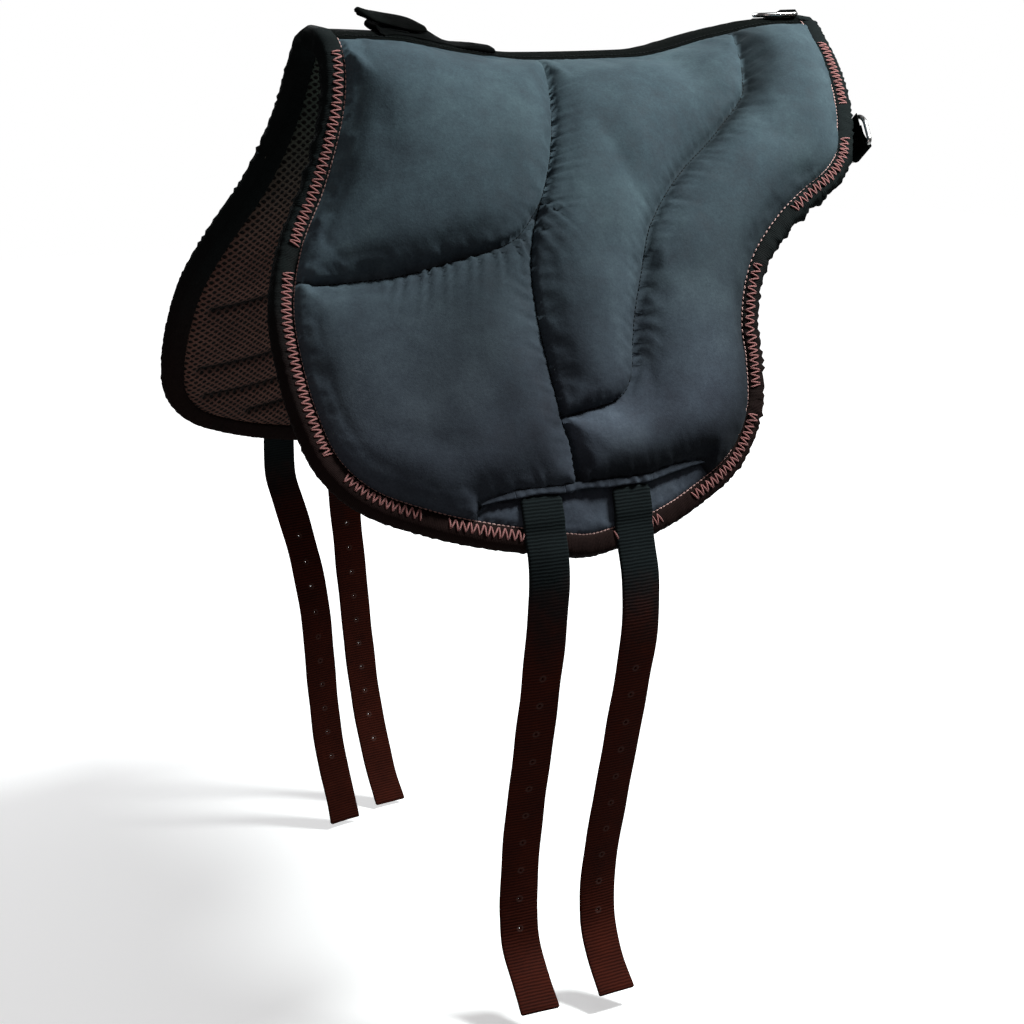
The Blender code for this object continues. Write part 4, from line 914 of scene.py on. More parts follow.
# Folds in the cover: two ends as flat shares, depth and half width
FOLDS = (
    ((0.020, 0.235), (0.060, 0.455), 0.0022, 0.010), ((0.150, 0.130), (0.262, 0.082), 0.0014, 0.006),
    ((0.215, 0.145), (0.282, 0.120), -0.0010, 0.006), ((0.060, 0.230), (0.105, 0.400), -0.0012, 0.012),
    ((0.366, 0.110), (0.340, 0.215), 0.0020, 0.008), ((0.312, 0.270), (0.270, 0.320), 0.0030, 0.012),
    ((0.270, 0.330), (0.330, 0.380), 0.0014, 0.009),
    ((-0.270, 0.110), (-0.262, 0.330), 0.0014, 0.012), ((-0.150, 0.330), (-0.098, 0.285), 0.0018, 0.008),
    ((-0.360, 0.760), (-0.250, 0.800), 0.0012, 0.012), ((-0.010, 0.560), (0.030, 0.500), 0.0012, 0.010),
)


def add_relief(flat, heights, apart, held):
    """Puckers beside the seams, folds, and the slight unevenness of stuffing under cloth."""
    total = heights.copy()
    for name, side, first, last, height, reach, pitch in PUCKERS:
        line = SEAMS[name]
        gap, run, which = beside_line(flat, line)
        share = run / lengths_along(line)[-1]
        span = np.clip((share - first) / 0.06, 0, 1) * np.clip((last - share) / 0.06, 0, 1)
        wave = waves((run + gap * 0.35) / pitch, 1.3 * len(name) + side)
        fall = np.exp(-gap / reach) * np.clip(gap / 0.0022, 0, 1)
        total += np.where(which == side, height * span * fall * wave, 0)
    for start, end, depth, width in FOLDS:
        line = resample(from_shares([start, end]), 12)
        gap, run, _ = beside_line(flat, line)
        along = np.clip(run / lengths_along(line)[-1], 0, 1)
        total -= depth * np.exp(-(gap / width) ** 2) * np.sin(math.pi * np.clip(along, 0.08, 0.92))
    x, y = flat[:, 0], flat[:, 1]
    soft = waves(x / 0.085 + y / 0.14, 0.4, 3) * waves(y / 0.075 - x / 0.19, 2.1, 3)
    total += 0.0007 * soft * np.clip(apart / 0.02, 0, 1)
    return np.where(held, heights, np.maximum(total, 0.0002))


def settled(faces, top, held, apart):
    """The cover let out a little and blown against its seams, so that it gathers there as cloth does."""
    mesh = new_mesh("settling", top, faces)
    cloth_piece = link(bpy.data.objects.new("settling", mesh))
    if mesh.polygons[0].normal.y > 0:
        mesh.flip_normals()
    sewn_and_painted_shade = cloth_piece.vertex_groups.new(name="sewn_and_painted_shade")
    sewn_and_painted_shade.add([int(i) for i in np.nonzero(held)[0]], 1.0, "REPLACE")
    cloth = cloth_piece.modifiers.new("cloth", "CLOTH")
    settings = {"quality": 7, "mass": 0.25, "tension_stiffness": 20, "compression_stiffness": 20,
                "shear_stiffness": 6, "bending_stiffness": 0.3, "air_damping": 2, "vertex_group_mass": "sewn_and_painted_shade",
                "use_pressure": True, "uniform_pressure_force": CLOTH_PRESSURE, "shrink_min": -CLOTH_SPARE}
    for key, value in settings.items():
        setattr(cloth.settings, key, value)
    cloth.settings.effector_weights.gravity = 0
    scene = bpy.context.scene
    for times in (cloth.point_cache, scene):
        times.frame_start = 1
        times.frame_end = CLOTH_FRAMES
    for frame_number in range(1, CLOTH_FRAMES + 1):
        scene.frame_set(frame_number)
    shown = cloth_piece.evaluated_get(bpy.context.evaluated_depsgraph_get())
    found = np.zeros(len(top) * 3)
    shown.data.vertices.foreach_get("co", found)
    scene.frame_set(1)
    bpy.data.objects.remove(cloth_piece)
    move = found.reshape(-1, 3) - top
    size = np.linalg.norm(move, axis=1)
    print("cloth moved", round(float(size.mean()) * 1000, 2), "mm, at most", round(float(size.max()) * 1000, 2))
    move *= (np.minimum(size, CLOTH_CAP) / np.maximum(size, 1e-9))[:, None]
    even = np.stack([relaxed(move[:, k], faces, held, 40) for k in range(3)], axis=1)
    near_seam = np.exp(-(apart / 0.016) ** 2)[:, None]
    return top + even * (1 - near_seam) + move * near_seam


# Painted light and shade: how light the suede is painted in each chamber
CHAMBER_PAINTED_LIGHT = (0.80, 0.48, 0.68, 0.70, 0.84)


def painted_light_and_shade(flat):
    """Painted light and shade on the suede: a tone for each chamber, lighter low in the rear one and darker by its
    seams.
    """
    chamber = chambers_of(flat)
    down = flat[:, 1] / PAD_DROP
    forward = -flat[:, 0] / PAD_LENGTH
    from_seam, from_edge, from_lower = (beside_line(flat, line)[0] for line in (
        SEAMS["rear"], FIELD_LOOP, SEAMS["lower"]))
    shade = 0.60 * np.exp(-(from_seam / 0.032) ** 3) * np.clip((0.33 - down) / 0.10, 0, 1)
    shade = shade + 0.50 * np.exp(-(from_edge / 0.042) ** 2) * np.clip((down - 0.38) / 0.12, 0, 1)
    shade = shade + 0.50 * np.exp(-(from_lower / 0.034) ** 2)
    lit = np.clip((down - 0.55) / 0.15, 0, 1) * (1 - np.exp(-(np.minimum(from_edge, from_lower) / 0.045) ** 2))
    tone = np.choose(chamber, CHAMBER_PAINTED_LIGHT)
    tone = np.where(chamber == REAR, tone + 0.45 * lit - shade, tone)
    upper = tone - 0.08 + 0.50 * np.clip((forward - 0.12) / 0.25, 0, 1)
    tone = np.where(chamber == FRONT_UPPER, upper, tone)
    tone = np.where(chamber == FRONT_LOWER, tone + 0.25 * np.clip((forward - 0.20) / 0.20, 0, 1), tone)
    tone = tone - 0.24 * np.exp(-(from_seam / 0.010) ** 2) * np.clip((down - 0.20) / 0.08, 0, 1)
    return np.clip(tone, 0.06, 1) + 0.05 * waves(flat[:, 0] / 0.11 + flat[:, 1] / 0.2, 0.8, 3)


def add_cover(name, side, flat, faces, top):
    """The quilted cover of one side, closed below by the core, over its fillings."""
    low = DRAPE.lift(flat, -CORE_THICK)
    made = add_panel(f"quilted_cover_{name}", side, flat, faces, top, low, SUEDE)
    # Painted light and shade, which the suede multiplies into its colour
    add_values(made, "nap_and_painted_light", np.tile(painted_light_and_shade(flat), 2))
    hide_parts(f"cover_{name}", f"core_{name}", *(f"filling_{chamber}_{name}" for chamber in CHAMBERS))


# Lining

CHANNEL_PLACES = np.arange(-PAD_LENGTH, PAD_LENGTH, 0.006)
CHANNELS = [inside_field(np.stack([CHANNEL_PLACES, np.full(len(CHANNEL_PLACES), share * PAD_DROP)], axis=1))
            for share in CHANNEL_SHARES]


def add_lining(name, side):
    """Spacer-mesh lining: a cushioned sheet with sewn channels, puckered a little beside each row."""
    flat, faces = flat_mesh(BORDER_LOOP, [PANEL_INNER, *CHANNELS], FINE_STEP * 1.25)
    found = [beside_line(flat, line) for line in (FIELD_LOOP, *CHANNELS)]
    apart = np.min([gap for gap, _, _ in found], axis=0)
    within = inside(flat, FIELD_LOOP)
    held = (apart < SEWN_WITHIN) | ~within
    bulge = np.where(held, 0, CHANNEL_BULGE * shoulder(apart, CHANNEL_SHOULDER))
    bulge = np.maximum(relaxed(bulge, faces, held, 6), bulge * 0.93)
    for k, (gap, run, _) in enumerate(found[1:]):
        bulge += np.where(held, 0, 0.0007 * waves(run / 0.012, 1.9 + k) * np.exp(-gap / 0.007))
    top = DRAPE.lift(flat, LINING_TOP)
    face = DRAPE.lift(flat, LINING_FACE - np.maximum(bulge, 0))
    made = add_panel(f"mesh_lining_{name}", side, flat, faces, top, face, LINING_MESH)
    rows = np.min([gap for gap, _, _ in found[1:]], axis=0)
    # Painted shade along the sewn channel rows, for the lining's colour
    add_values(made, "sewn_and_painted_shade", np.tile(np.exp(-(rows / 0.0045) ** 2) * within, 2))
    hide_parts(f"lining_{name}")


# Binding

def binding_shape():
    """The folded tape's outer skin at each place round the edge, with its ruching."""
    edge = ring(EDGE_INSET)
    inner = ring(BINDING_WIDTH)
    run = lengths_along(SAMPLES)
    normal = DRAPE.normal(edge)
    top_in, low_in = (DRAPE.lift(inner, height) for height in (LEG_TOP, LEG_BOTTOM))
    top_out, low_out = (DRAPE.lift(edge, height) for height in (LEG_TOP, LEG_BOTTOM))
    out = unit(top_out - top_in)
    low_dir = unit(low_out - low_in)
    place, depth = (SAMPLES / (PAD_LENGTH, PAD_DROP)).T
    rear = np.clip((place - 0.10) / 0.10, 0, 1) * np.clip((depth - 0.26) / 0.12, 0.15, 1)
    bottom = np.clip((depth - 0.85) / 0.1, 0, 1)
    front_top = np.clip((-place - 0.10) / 0.10, 0, 1) * np.clip((0.45 - depth) / 0.2, 0, 1)
    loose = 0.55 + 0.40 * np.clip(depth / 0.3, 0, 1) + 1.1 * rear * (1 - bottom) + 0.45 * front_top
    crinkle = waves(run / 0.0105, 0.7)
    scallop = waves(run / 0.021, 2.3, 3) * (rear * (depth > 0.06) + 0.9 * front_top)

    def ripple(height, shift):
        return height * loose * waves(run / BINDING_RIPPLE + shift, 1.1)

    leg = list(zip((0, 0.12, 0.3, 0.5, 0.7, 0.88, 1), (0.0, 0.0011, 0.0016, 0.0019, 0.0018, 0.0012, 0.0)))
    fold = zip((0.08, 0.3, 0.5, 0.7, 0.92), (0.0016, 0.0026, 0.0030, 0.0026, 0.0016))
    rows = [top_in - out * 0.0002]
    for s, d in leg:
        off = BINDING_SKIN + d + ripple(0.00055, s * 0.6) * (0.35 + s)
        rows.append(top_in + (top_out - top_in) * s + normal * off[:, None]
                    + out * (0.0006 * loose * crinkle * s)[:, None])
    for s, d in fold:
        off = d + ripple(0.0005, 0.6 + s * 0.5) + 0.0013 * scallop
        rows.append(top_out + (low_out - top_out) * s + (out * (1 - s) + low_dir * s) * off[:, None])
    for s, d in leg[::-1]:
        off = BINDING_SKIN + d * 0.8 + ripple(0.0004, 1.4 + s * 0.6)
        rows.append(low_in + (low_out - low_in) * s - normal * off[:, None])
    rows.append(low_in - low_dir * 0.0002)
    return np.stack(rows, axis=1), run, normal


# The place round the edge whose profile gives the binding's flat width
PROFILE_PLACE = 40


def add_binding(name, side):
    outer, run, _ = binding_shape()
    uv = np.stack(np.broadcast_arrays(run[:, None], lengths_along(outer[PROFILE_PLACE])[None]), axis=-1)
    made = add_piece(f"edge_binding_{name}", (outer * mirror(side)).reshape(-1, 3), tube(outer), BIND_TAPE, uv=uv)
    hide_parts(f"binding_{name}")


# Runs of thread work round the near edge, as shares of the run, with gaps between them
THREAD_RUNS = ((0.030, 0.155), (0.175, 0.300), (0.318, 0.372), (0.388, 0.452), (0.500, 0.535), (0.565, 0.640),
               (0.660, 0.735), (0.775, 0.850), (0.880, 0.945))


def add_binding_stitches(name, side):
    """Whip stitches over the binding in groups, and the fine row along its inner edge."""
    outer, run, normal = binding_shape()
    flip = mirror(side)
    whole = run[-1]
    starts, ends, ups = [], [], []
    for first, last in THREAD_RUNS:
        marks = np.arange(first * whole, last * whole, WHIP_PITCH)
        turn = np.where(np.arange(len(marks)) % 2 == 0, 1, -1)
        wobble = 0.0005 * waves(marks / 0.017, 3.3)
        starts.append(read_along(marks + wobble - 0.0013 * turn, run, outer[:, 2]))
        ends.append(read_along(marks - wobble + 0.0013 * turn, run, outer[:, 5]))
        ups.append(read_along(marks, run, normal))
    starts, ends, ups = (np.vstack(v) * flip for v in (starts, ends, ups))
    length = np.linalg.norm(ends - starts, axis=1)
    middle = (starts + ends) / 2 + ups * 0.0006
    stitch_rows(f"whip_stitches_{name}", middle, ends - starts, ups, (length * WHIP_STITCH[0], *WHIP_STITCH[1:]),
                PINK_THREAD)
    marks = np.arange(0.028, whole - 0.028, EDGE_PITCH)
    here, ahead = (read_along(marks + shift, run, outer[:, 0]) for shift in (0, STITCH_AHEAD))
    ups = read_along(marks, run, normal)
    stitch_rows(f"edge_stitches_{name}", (here + ups * 0.0011) * flip, (ahead - here) * flip, ups * flip,
                EDGE_STITCH, PALE_THREAD)


def add_seam_stitches(name, side):
    """Rows of dark thread lying in the quilting seams."""
    places, ways, ups = [], [], []
    for line in SEAMS.values():
        fine = smooth_path(line[::3])
        run = lengths_along(fine)
        marks = np.arange(SEAM_STEP, run[-1] - SEAM_STEP, STITCH_PITCH)
        spots, ahead = (read_along(marks + shift, run, fine) for shift in (0, STITCH_AHEAD))
        places.append(DRAPE.lift(spots, SEAM_TOP + 0.0003))
        ways.append(DRAPE.lift(ahead, SEAM_TOP + 0.0003) - places[-1])
        ups.append(DRAPE.normal(spots))
    places, ways, ups = (np.vstack(v) * mirror(side) for v in (places, ways, ups))
    stitch_rows(f"seam_stitches_{name}", places, ways, ups, SEAM_STITCH, DARK_THREAD)


# Spine

def strip_grid(columns, downs):
    """Flat places over the spine, a row for each distance down."""
    front, rear = ring(BINDING_WIDTH)[[0, -1], 0] + (-SPINE_OVERRUN, SPINE_OVERRUN)
    along = np.linspace(front, rear, columns)
    return np.stack(np.broadcast_arrays(along[None], downs[:, None]), axis=-1)


def add_strip(name, grid, top, low, material):
    """A piece of cloth over the spine, between two like sheets, with walls round them."""
    rows, columns = grid.shape[:2]
    count = rows * columns
    faces = grid_faces(rows, columns)
    faces += [[i + count for i in face[::-1]] for face in faces]
    places = np.arange(count).reshape(rows, columns)
    edge = [*places[0], *places[1:, -1], *places[-1, -2::-1], *places[-2:0:-1, 0]]
    faces += [[a, b, b + count, a + count] for a, b in zip(edge, edge[1:] + edge[:1])]
    flat = grid.reshape(-1, 2)
    return add_piece(name, np.vstack([top, low]), faces, material, uv=np.vstack([flat, flat]))


def add_spine_tape():
    """The woven tape over the spine, where the two sides meet, with a row of stitches at each edge."""
    downs = np.array([-1.0, -0.985, -0.93, -0.8, -0.55, -0.3, 0.001, 0.3, 0.55, 0.8, 0.93, 0.985, 1.0]) * TAPE_HALF
    grid = strip_grid(220, downs)
    flat = grid.reshape(-1, 2)
    share = np.abs(flat[:, 1]) / TAPE_HALF
    rise = 0.0006 + 0.0008 * (1 - share ** 2) + 0.0004 * waves(flat[:, 0] / 0.024 + flat[:, 1] / 0.05, 0.9) * share
    rise = np.where(share > 0.99, 0.0004, rise)
    ripple = flat.copy()
    ripple[:, 1] += np.sign(flat[:, 1]) * 0.0007 * waves(flat[:, 0] / 0.03, 1.8) * share ** 6
    made = add_strip("woven_spine_tape", grid, DRAPE.lift(ripple, SEAM_TOP + rise), DRAPE.lift(flat, -CORE_THICK),
                     TAPE)
    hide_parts("spine_tape", "spine_core")
    marks = np.arange(grid[0, 0, 0] + 0.016, grid[0, -1, 0] - 0.016, STITCH_PITCH)
    for word, side in (("far", -1), ("near", 1)):
        line = np.stack([marks, np.full(len(marks), side * (TAPE_HALF - 0.0035))], axis=1)
        here, ahead = (DRAPE.lift(line + (shift, 0), SEAM_TOP + 0.0013) for shift in (0, STITCH_AHEAD))
        stitch_rows(f"spine_stitches_{word}", here, ahead - here, DRAPE.normal(line), SPINE_STITCH, DARK_THREAD)


def add_spine_lining():
    reach = TAPE_HALF - CLEARANCE
    grid = strip_grid(130, np.linspace(-1, 1, 24) * reach)
    flat = grid.reshape(-1, 2)
    share = np.abs(flat[:, 1]) / reach
    low = DRAPE.lift(flat, LINING_FACE - 0.0012 * (1 - share ** 4))
    made = add_strip("mesh_spine_lining", grid, DRAPE.lift(flat, LINING_TOP), low, LINING_MESH)
    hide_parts("spine_lining")


# Straps

def add_strap(name, centres, across, facing, widths, thick, material, crown=0.0, hang=0.0):
    """A flat strap along a line of centres, with rounded edges and ends. Its first edge may hang down."""
    widths, thick, hang = (np.broadcast_to(values, len(centres)) for values in (widths, thick, hang))
    run = lengths_along(centres)
    columns = np.array([-1, -0.985, -0.94, -0.8, -0.65, -0.5, -0.35, -0.2, 0, 0.2, 0.5, 0.8, 0.94, 0.985, 1])
    ends = np.minimum(run, run[-1] - run)
    tip = np.sqrt(1 - (1 - np.clip(ends / 0.002, 0.03, 1)) ** 2)
    sections, uv = [], []
    for centre, side, up, width, s, t, thickness, fall in zip(centres, across, facing, widths, run, tip, thick, hang):
        half = width / 2
        r = min(thickness * 0.5, 0.0011)
        droop = np.array([0, 0, 1]) * (fall * np.clip((-columns - 0.05) / 0.95, 0, 1) ** 1.6)[:, None]
        edge = np.clip((half - np.abs(columns) * half) / r, 0.02, 1)
        rise = thickness / 2 * np.sqrt(1 - (1 - edge) ** 2) * t
        bump = crown * (1 - columns ** 2)
        upper = centre + side * (columns * half)[:, None] + up * (rise + bump)[:, None] - droop
        lower = centre + side * (columns * half)[:, None] - up * (rise - bump)[:, None] - droop
        sections.append(np.vstack([upper, lower[::-1]]))
        uv.append(np.stack([np.full(2 * len(columns), s), np.concatenate([columns, columns[::-1]]) * half], axis=1))
    sections = np.array(sections)
    return add_piece(name, sections.reshape(-1, 3), tube(sections), material, uv=np.array(uv))


def billet_line(name):
    """Centres, width direction, outward direction and holes of a billet, before it is mirrored to its side."""
    lean = BILLET_LEAN_SHARES[name]
    along = BILLET_PLACE_SHARES[name] * PAD_LENGTH
    lower = seam_line(LOWER_SEAM_SHARES)
    down = np.interp(along, lower[:, 0], lower[:, 1]) + BILLET_BELOW_SEAM
    half = BILLET_WIDTH / 2
    front, rear = DRAPE.base([(along - half, down), (along + half, down)])
    across = unit((rear - front) * (1, 1, 0))
    outward = np.array([across[1], -across[0], 0])
    half_thick = BILLET_THICK / 2
    crown = STRIP_CROWN * shoulder(BILLET_BELOW_SEAM, STRIP_SHOULDER)
    root = DRAPE.lift([(along, down)], SEAM_TOP + crown + BILLET_CLEAR + half_thick)[0]
    edge_down = np.interp(along, BOTTOM_EDGE[:, 0], BOTTOM_EDGE[:, 1])
    inner_down = edge_down - BINDING_WIDTH
    strip_lift = SEAM_TOP + STRIP_CROWN + BILLET_CLEAR + half_thick
    edge_lift = LEG_TOP + BINDING_THICK + BILLET_CLEAR + half_thick
    stops = [(inner_down + (down - inner_down) * share, strip_lift) for share in BILLET_STOP_SHARES]
    stops += [(inner_down, edge_lift), (edge_down + BINDING_THICK, edge_lift)]
    path = [(0.0, 0.0)]
    for stop, lift in stops:
        places = DRAPE.lift([(along + aside, stop) for aside in (0, -half, half)], lift) - root
        path.append((-places[0, 2], (places @ outward).max()))
    hanging = BILLET_LENGTH - lengths_along(np.array(path))[-1]
    plain = hanging - HOLE_PITCH * HOLE_COUNT - END_MARGIN
    run = 0
    drift = [0.0] * len(path)
    for step in [plain / PLAIN_SEGMENTS] * PLAIN_SEGMENTS + [HOLE_PITCH] * HOLE_COUNT + [END_MARGIN / 2] * 2:
        angle = math.radians(smooth_value(BILLET_RUN_SHARES[name], BILLET_ANGLES[name], (run + step / 2) / hanging))
        fall, reach = path[-1]
        path.append((fall + step * math.cos(angle), reach + step * math.sin(angle)))
        run += step
        drift.append(lean * run)
    centres = np.array([root + outward * reach - (0, 0, fall) + across * aside
                        for (fall, reach), aside in zip(path, drift)])
    ends = centres[len(path) - 3 - HOLE_COUNT:-2]
    return centres, across, outward, (ends[:-1] + ends[1:]) / 2


# Rings of points round a billet's hole, from its pinched opening out to the flat webbing
HOLE_RINGS = (HOLE_OPEN, HOLE_RADIUS * 0.7, HOLE_RADIUS, HOLE_RADIUS * 1.35, HOLE_RADIUS * 1.9)


def hole_gap(flat, marks):
    """Distance of each flat point to the middle of the nearest hole."""
    return np.min([np.hypot(flat[:, 0] - mark, flat[:, 1]) for mark in marks], axis=0)


def billet_pattern(length, marks):
    """Flat triangles of a billet, with rings of points round its holes, which are left open."""
    half = BILLET_WIDTH / 2
    corner = BILLET_CORNER
    step = BILLET_STEP
    inset = np.array([0, 0.0007, 0.0018, 0.004, 0.008, 0.0125, 0.0165])
    edge_u = np.linspace(-half + corner, half - corner, 9)
    s_marks = [s for s in np.arange(0.0, length - corner, step) if s > 0.001]
    round_end = [(length - corner + corner * math.sin(t), half - corner + corner * math.cos(t))
                 for t in np.linspace(0.1, math.pi / 2, 5)]
    border = [(0.0, u) for u in edge_u] + [(s, half) for s in s_marks] + round_end
    border += [(length, u) for u in edge_u[::-1][1:-1]] + [(s, -u) for s, u in round_end[::-1]]
    border += [(s, -half) for s in s_marks[::-1]]
    points = list(border)
    turns = 2 * math.pi * np.arange(HOLE_SIDES) / HOLE_SIDES
    edges = []
    for mark in marks:
        for radius in HOLE_RINGS:
            first = len(points)
            points += [(mark + radius * math.cos(t), radius * math.sin(t)) for t in turns]
            edges += [(first + i, first + (i + 1) % HOLE_SIDES) for i in range(HOLE_SIDES)]
    u_rows = np.concatenate([-half + inset, (half - inset)[::-1]])[1:-1]
    free = np.array([(s, u) for s in np.arange(step, length - 0.001, step) for u in u_rows])
    closed = np.array(border + border[:1])
    free = free[(hole_gap(free, marks) > HOLE_RADIUS * 2.3) & inside(free, closed)
                & (beside_line(free, closed)[0] > 0.0005)]
    points += [tuple(p) for p in free]
    flat, _, faces, _, _, _ = delaunay_2d_cdt(points, edges, [list(range(len(border)))], 1, 1e-7)
    flat = np.array([tuple(p) for p in flat])
    faces = np.array(faces)
    return flat, faces[hole_gap(flat[faces].mean(axis=1), marks) > HOLE_OPEN * 0.9]


def add_billet(name):
    """A punched webbing strap: rounded edges, pressed round holes, and a heat-sealed end."""
    centres, across, outward, holes = billet_line(name)
    path = resample(smooth_path(centres), 240)
    run = lengths_along(path)
    tangent = unit(np.gradient(path, axis=0))
    facing = unit(np.cross(np.broadcast_to(across, tangent.shape), tangent))
    facing *= np.sign(facing @ outward)[:, None]
    marks = [run[np.linalg.norm(path - hole, axis=1).argmin()] for hole in holes]
    flat, faces = billet_pattern(run[-1], marks)
    s, u = flat.T
    half = BILLET_WIDTH / 2
    gap = hole_gap(flat, marks)
    edge_gap = np.minimum(half - np.abs(u), run[-1] - s)
    round_off = np.sqrt(1 - (1 - np.clip(edge_gap / 0.0012, 0.03, 1)) ** 2)
    sunk = np.clip((gap - HOLE_OPEN) / (HOLE_RADIUS - HOLE_OPEN), 0, 1)
    rim = np.exp(-((gap - HOLE_RADIUS * 1.15) / 0.0006) ** 2)
    pressed = 0.62 + 0.38 * np.sin(sunk * math.pi / 2) + 0.12 * rim
    thick = BILLET_THICK / 2 * round_off * pressed * (1 + 0.10 * np.exp(-(edge_gap - 0.0025) ** 2 / 0.0015 ** 2))
    up = unit(read_along(s, run, facing))
    waver = 0.0004 * waves(s / 0.07 + np.sign(u) * 0.3, 1.2, 3) * np.abs(u) / half
    cup = 0.0009 * (u / half) ** 2 * np.clip(s / 0.05, 0, 1)
    centre = read_along(s, run, path) + across * (u + waver * 0.6)[:, None] - up * cup[:, None]
    shift = len(flat)
    lines = [(a, b) for face in faces for a, b in zip(face, np.roll(face, -1))]
    used = Counter((min(line), max(line)) for line in lines)
    walls = []
    for a, b in lines:
        if used[min(a, b), max(a, b)] == 1:
            walls += [(a, b, b + shift), (a, b + shift, a + shift)]
    every = np.vstack([faces, faces[:, ::-1] + shift, walls])
    points = np.vstack([centre + up * thick[:, None], centre - up * thick[:, None]]) * mirror(BILLET_SIDES[name])
    keep = np.unique(every)
    new = np.zeros(len(points), int)
    new[keep] = np.arange(len(keep))
    made = add_piece(f"punched_billet_{name}", points[keep], new[every], BILLET_WEB, f"billet_{name}",
                     uv=np.vstack([flat, flat])[keep])
    add_values(made, "rim", np.tile(rim, 2)[keep])
    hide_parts(f"billet_{name}")


# The fold of the cover over the lower seam: distance down from the seam and height off the core, in metres
FOLD_SHAPE = np.array((
    (-0.0042, 0.0091), (-0.0026, 0.0101), (-0.0008, 0.0106), (0.0008, 0.0108), (0.0019, 0.0106), (0.0027, 0.0102),
    (0.0030, 0.0098), (0.0027, 0.0094), (0.0016, 0.0095), (-0.0002, 0.0095), (-0.0016, 0.0092), (-0.0030, 0.0088),
    (-0.0042, 0.0085),
))
# Painted light round the fold, from the same place: a painted highlight on its crest and painted shade below it
FOLD_PAINTED_LIGHT = (0.3, 0.4, 0.5, 0.7, 0.95, 0.9, 0.5, 0.3, 0.3, 0.3, 0.3, 0.3, 0.3)


def add_folds(name, side):
    """The cover's fold along the lower seam. Where a billet comes out, it is a piece of its own, with its own mesh."""
    line = resample(inside_field(seam_line(LOWER_SEAM_SHARES, step=0.001)), 260)
    run = lengths_along(line)
    ends = np.sqrt(np.clip(np.minimum(run, run[-1] - run) / 0.035, 0.03, 1))
    droop = 0.0005 * waves(run / 0.045, 0.6, 3)
    creased = 1 + 1.6 * np.exp(-((run / run[-1] - 0.60) / 0.13) ** 2)
    proud = 0.0003 * creased * (1 + waves(run / 0.011, 2.2, 4))
    sections = []
    for down, height in FOLD_SHAPE:
        flat = line + np.stack([0 * run, 0.001 + (down - 0.001) * ends + droop * (down > 0)], axis=1)
        lift = FOLD_BASE + (height - FOLD_BASE + proud * (height > 0.0097)) * ends
        sections.append(DRAPE.lift(flat, lift))
    sections = np.stack(sections, axis=1) * mirror(side)
    uv = np.stack(np.broadcast_arrays(run[:, None], lengths_along(FOLD_SHAPE)[None]), axis=-1)
    cuts = [0]
    joints = [None]
    for end in ("front", "rear"):
        place = BILLET_PLACE_SHARES[f"{name}_{end}"] * PAD_LENGTH
        reach = BILLET_WIDTH / 2 + FOLD_SPARE
        cuts += [int(np.abs(line[:, 0] - place + aside).argmin()) for aside in (reach, -reach)]
        joints += [f"billet_{name}_{end}_hinge", None]
    cuts.append(len(line) - 1)
    for k, (first, last, joint) in enumerate(zip(cuts, cuts[1:], joints)):
        part = sections[first:last + 1]
        made = add_piece(f"seam_fold_{name}_{k + 1}", part.reshape(-1, 3), tube(part), SUEDE, uv=uv[first:last + 1])
        # Painted highlight on the fold's crest and painted shade under it
        add_values(made, "nap_and_painted_light", np.tile(FOLD_PAINTED_LIGHT, len(part)))
        if joint:
            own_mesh(made)


def tilted(centres, tilts):
    """Width direction and facing of a strap along its centres, at its sideways tilts in degrees."""
    run = unit(np.gradient(centres, axis=0))
    tilts = np.radians(tilts)
    across = np.stack([0 * tilts, np.cos(tilts), np.sin(tilts)], axis=1)
    across -= run * (across * run).sum(axis=1)[:, None]
    across = unit(across)
    return across, np.cross(run, across)


def strap_line(table):
    """Centres of the strap or its tongue, over the spine tape."""
    along = np.linspace(*ring(BINDING_WIDTH)[[0, -1], 0], 200)
    tape = DRAPE.lift(np.stack([along, 0 * along], axis=1), SEAM_TOP)
    places = table[:, 0] * STRAP_SPAN - STRAP_START
    heights = np.interp(places, tape[:, 0], tape[:, 2]) + CLEARANCE + STRAP_THICK / 2 + table[:, 1] * STRAP_RISE
    return np.stack([places, 0 * places, heights], axis=1)


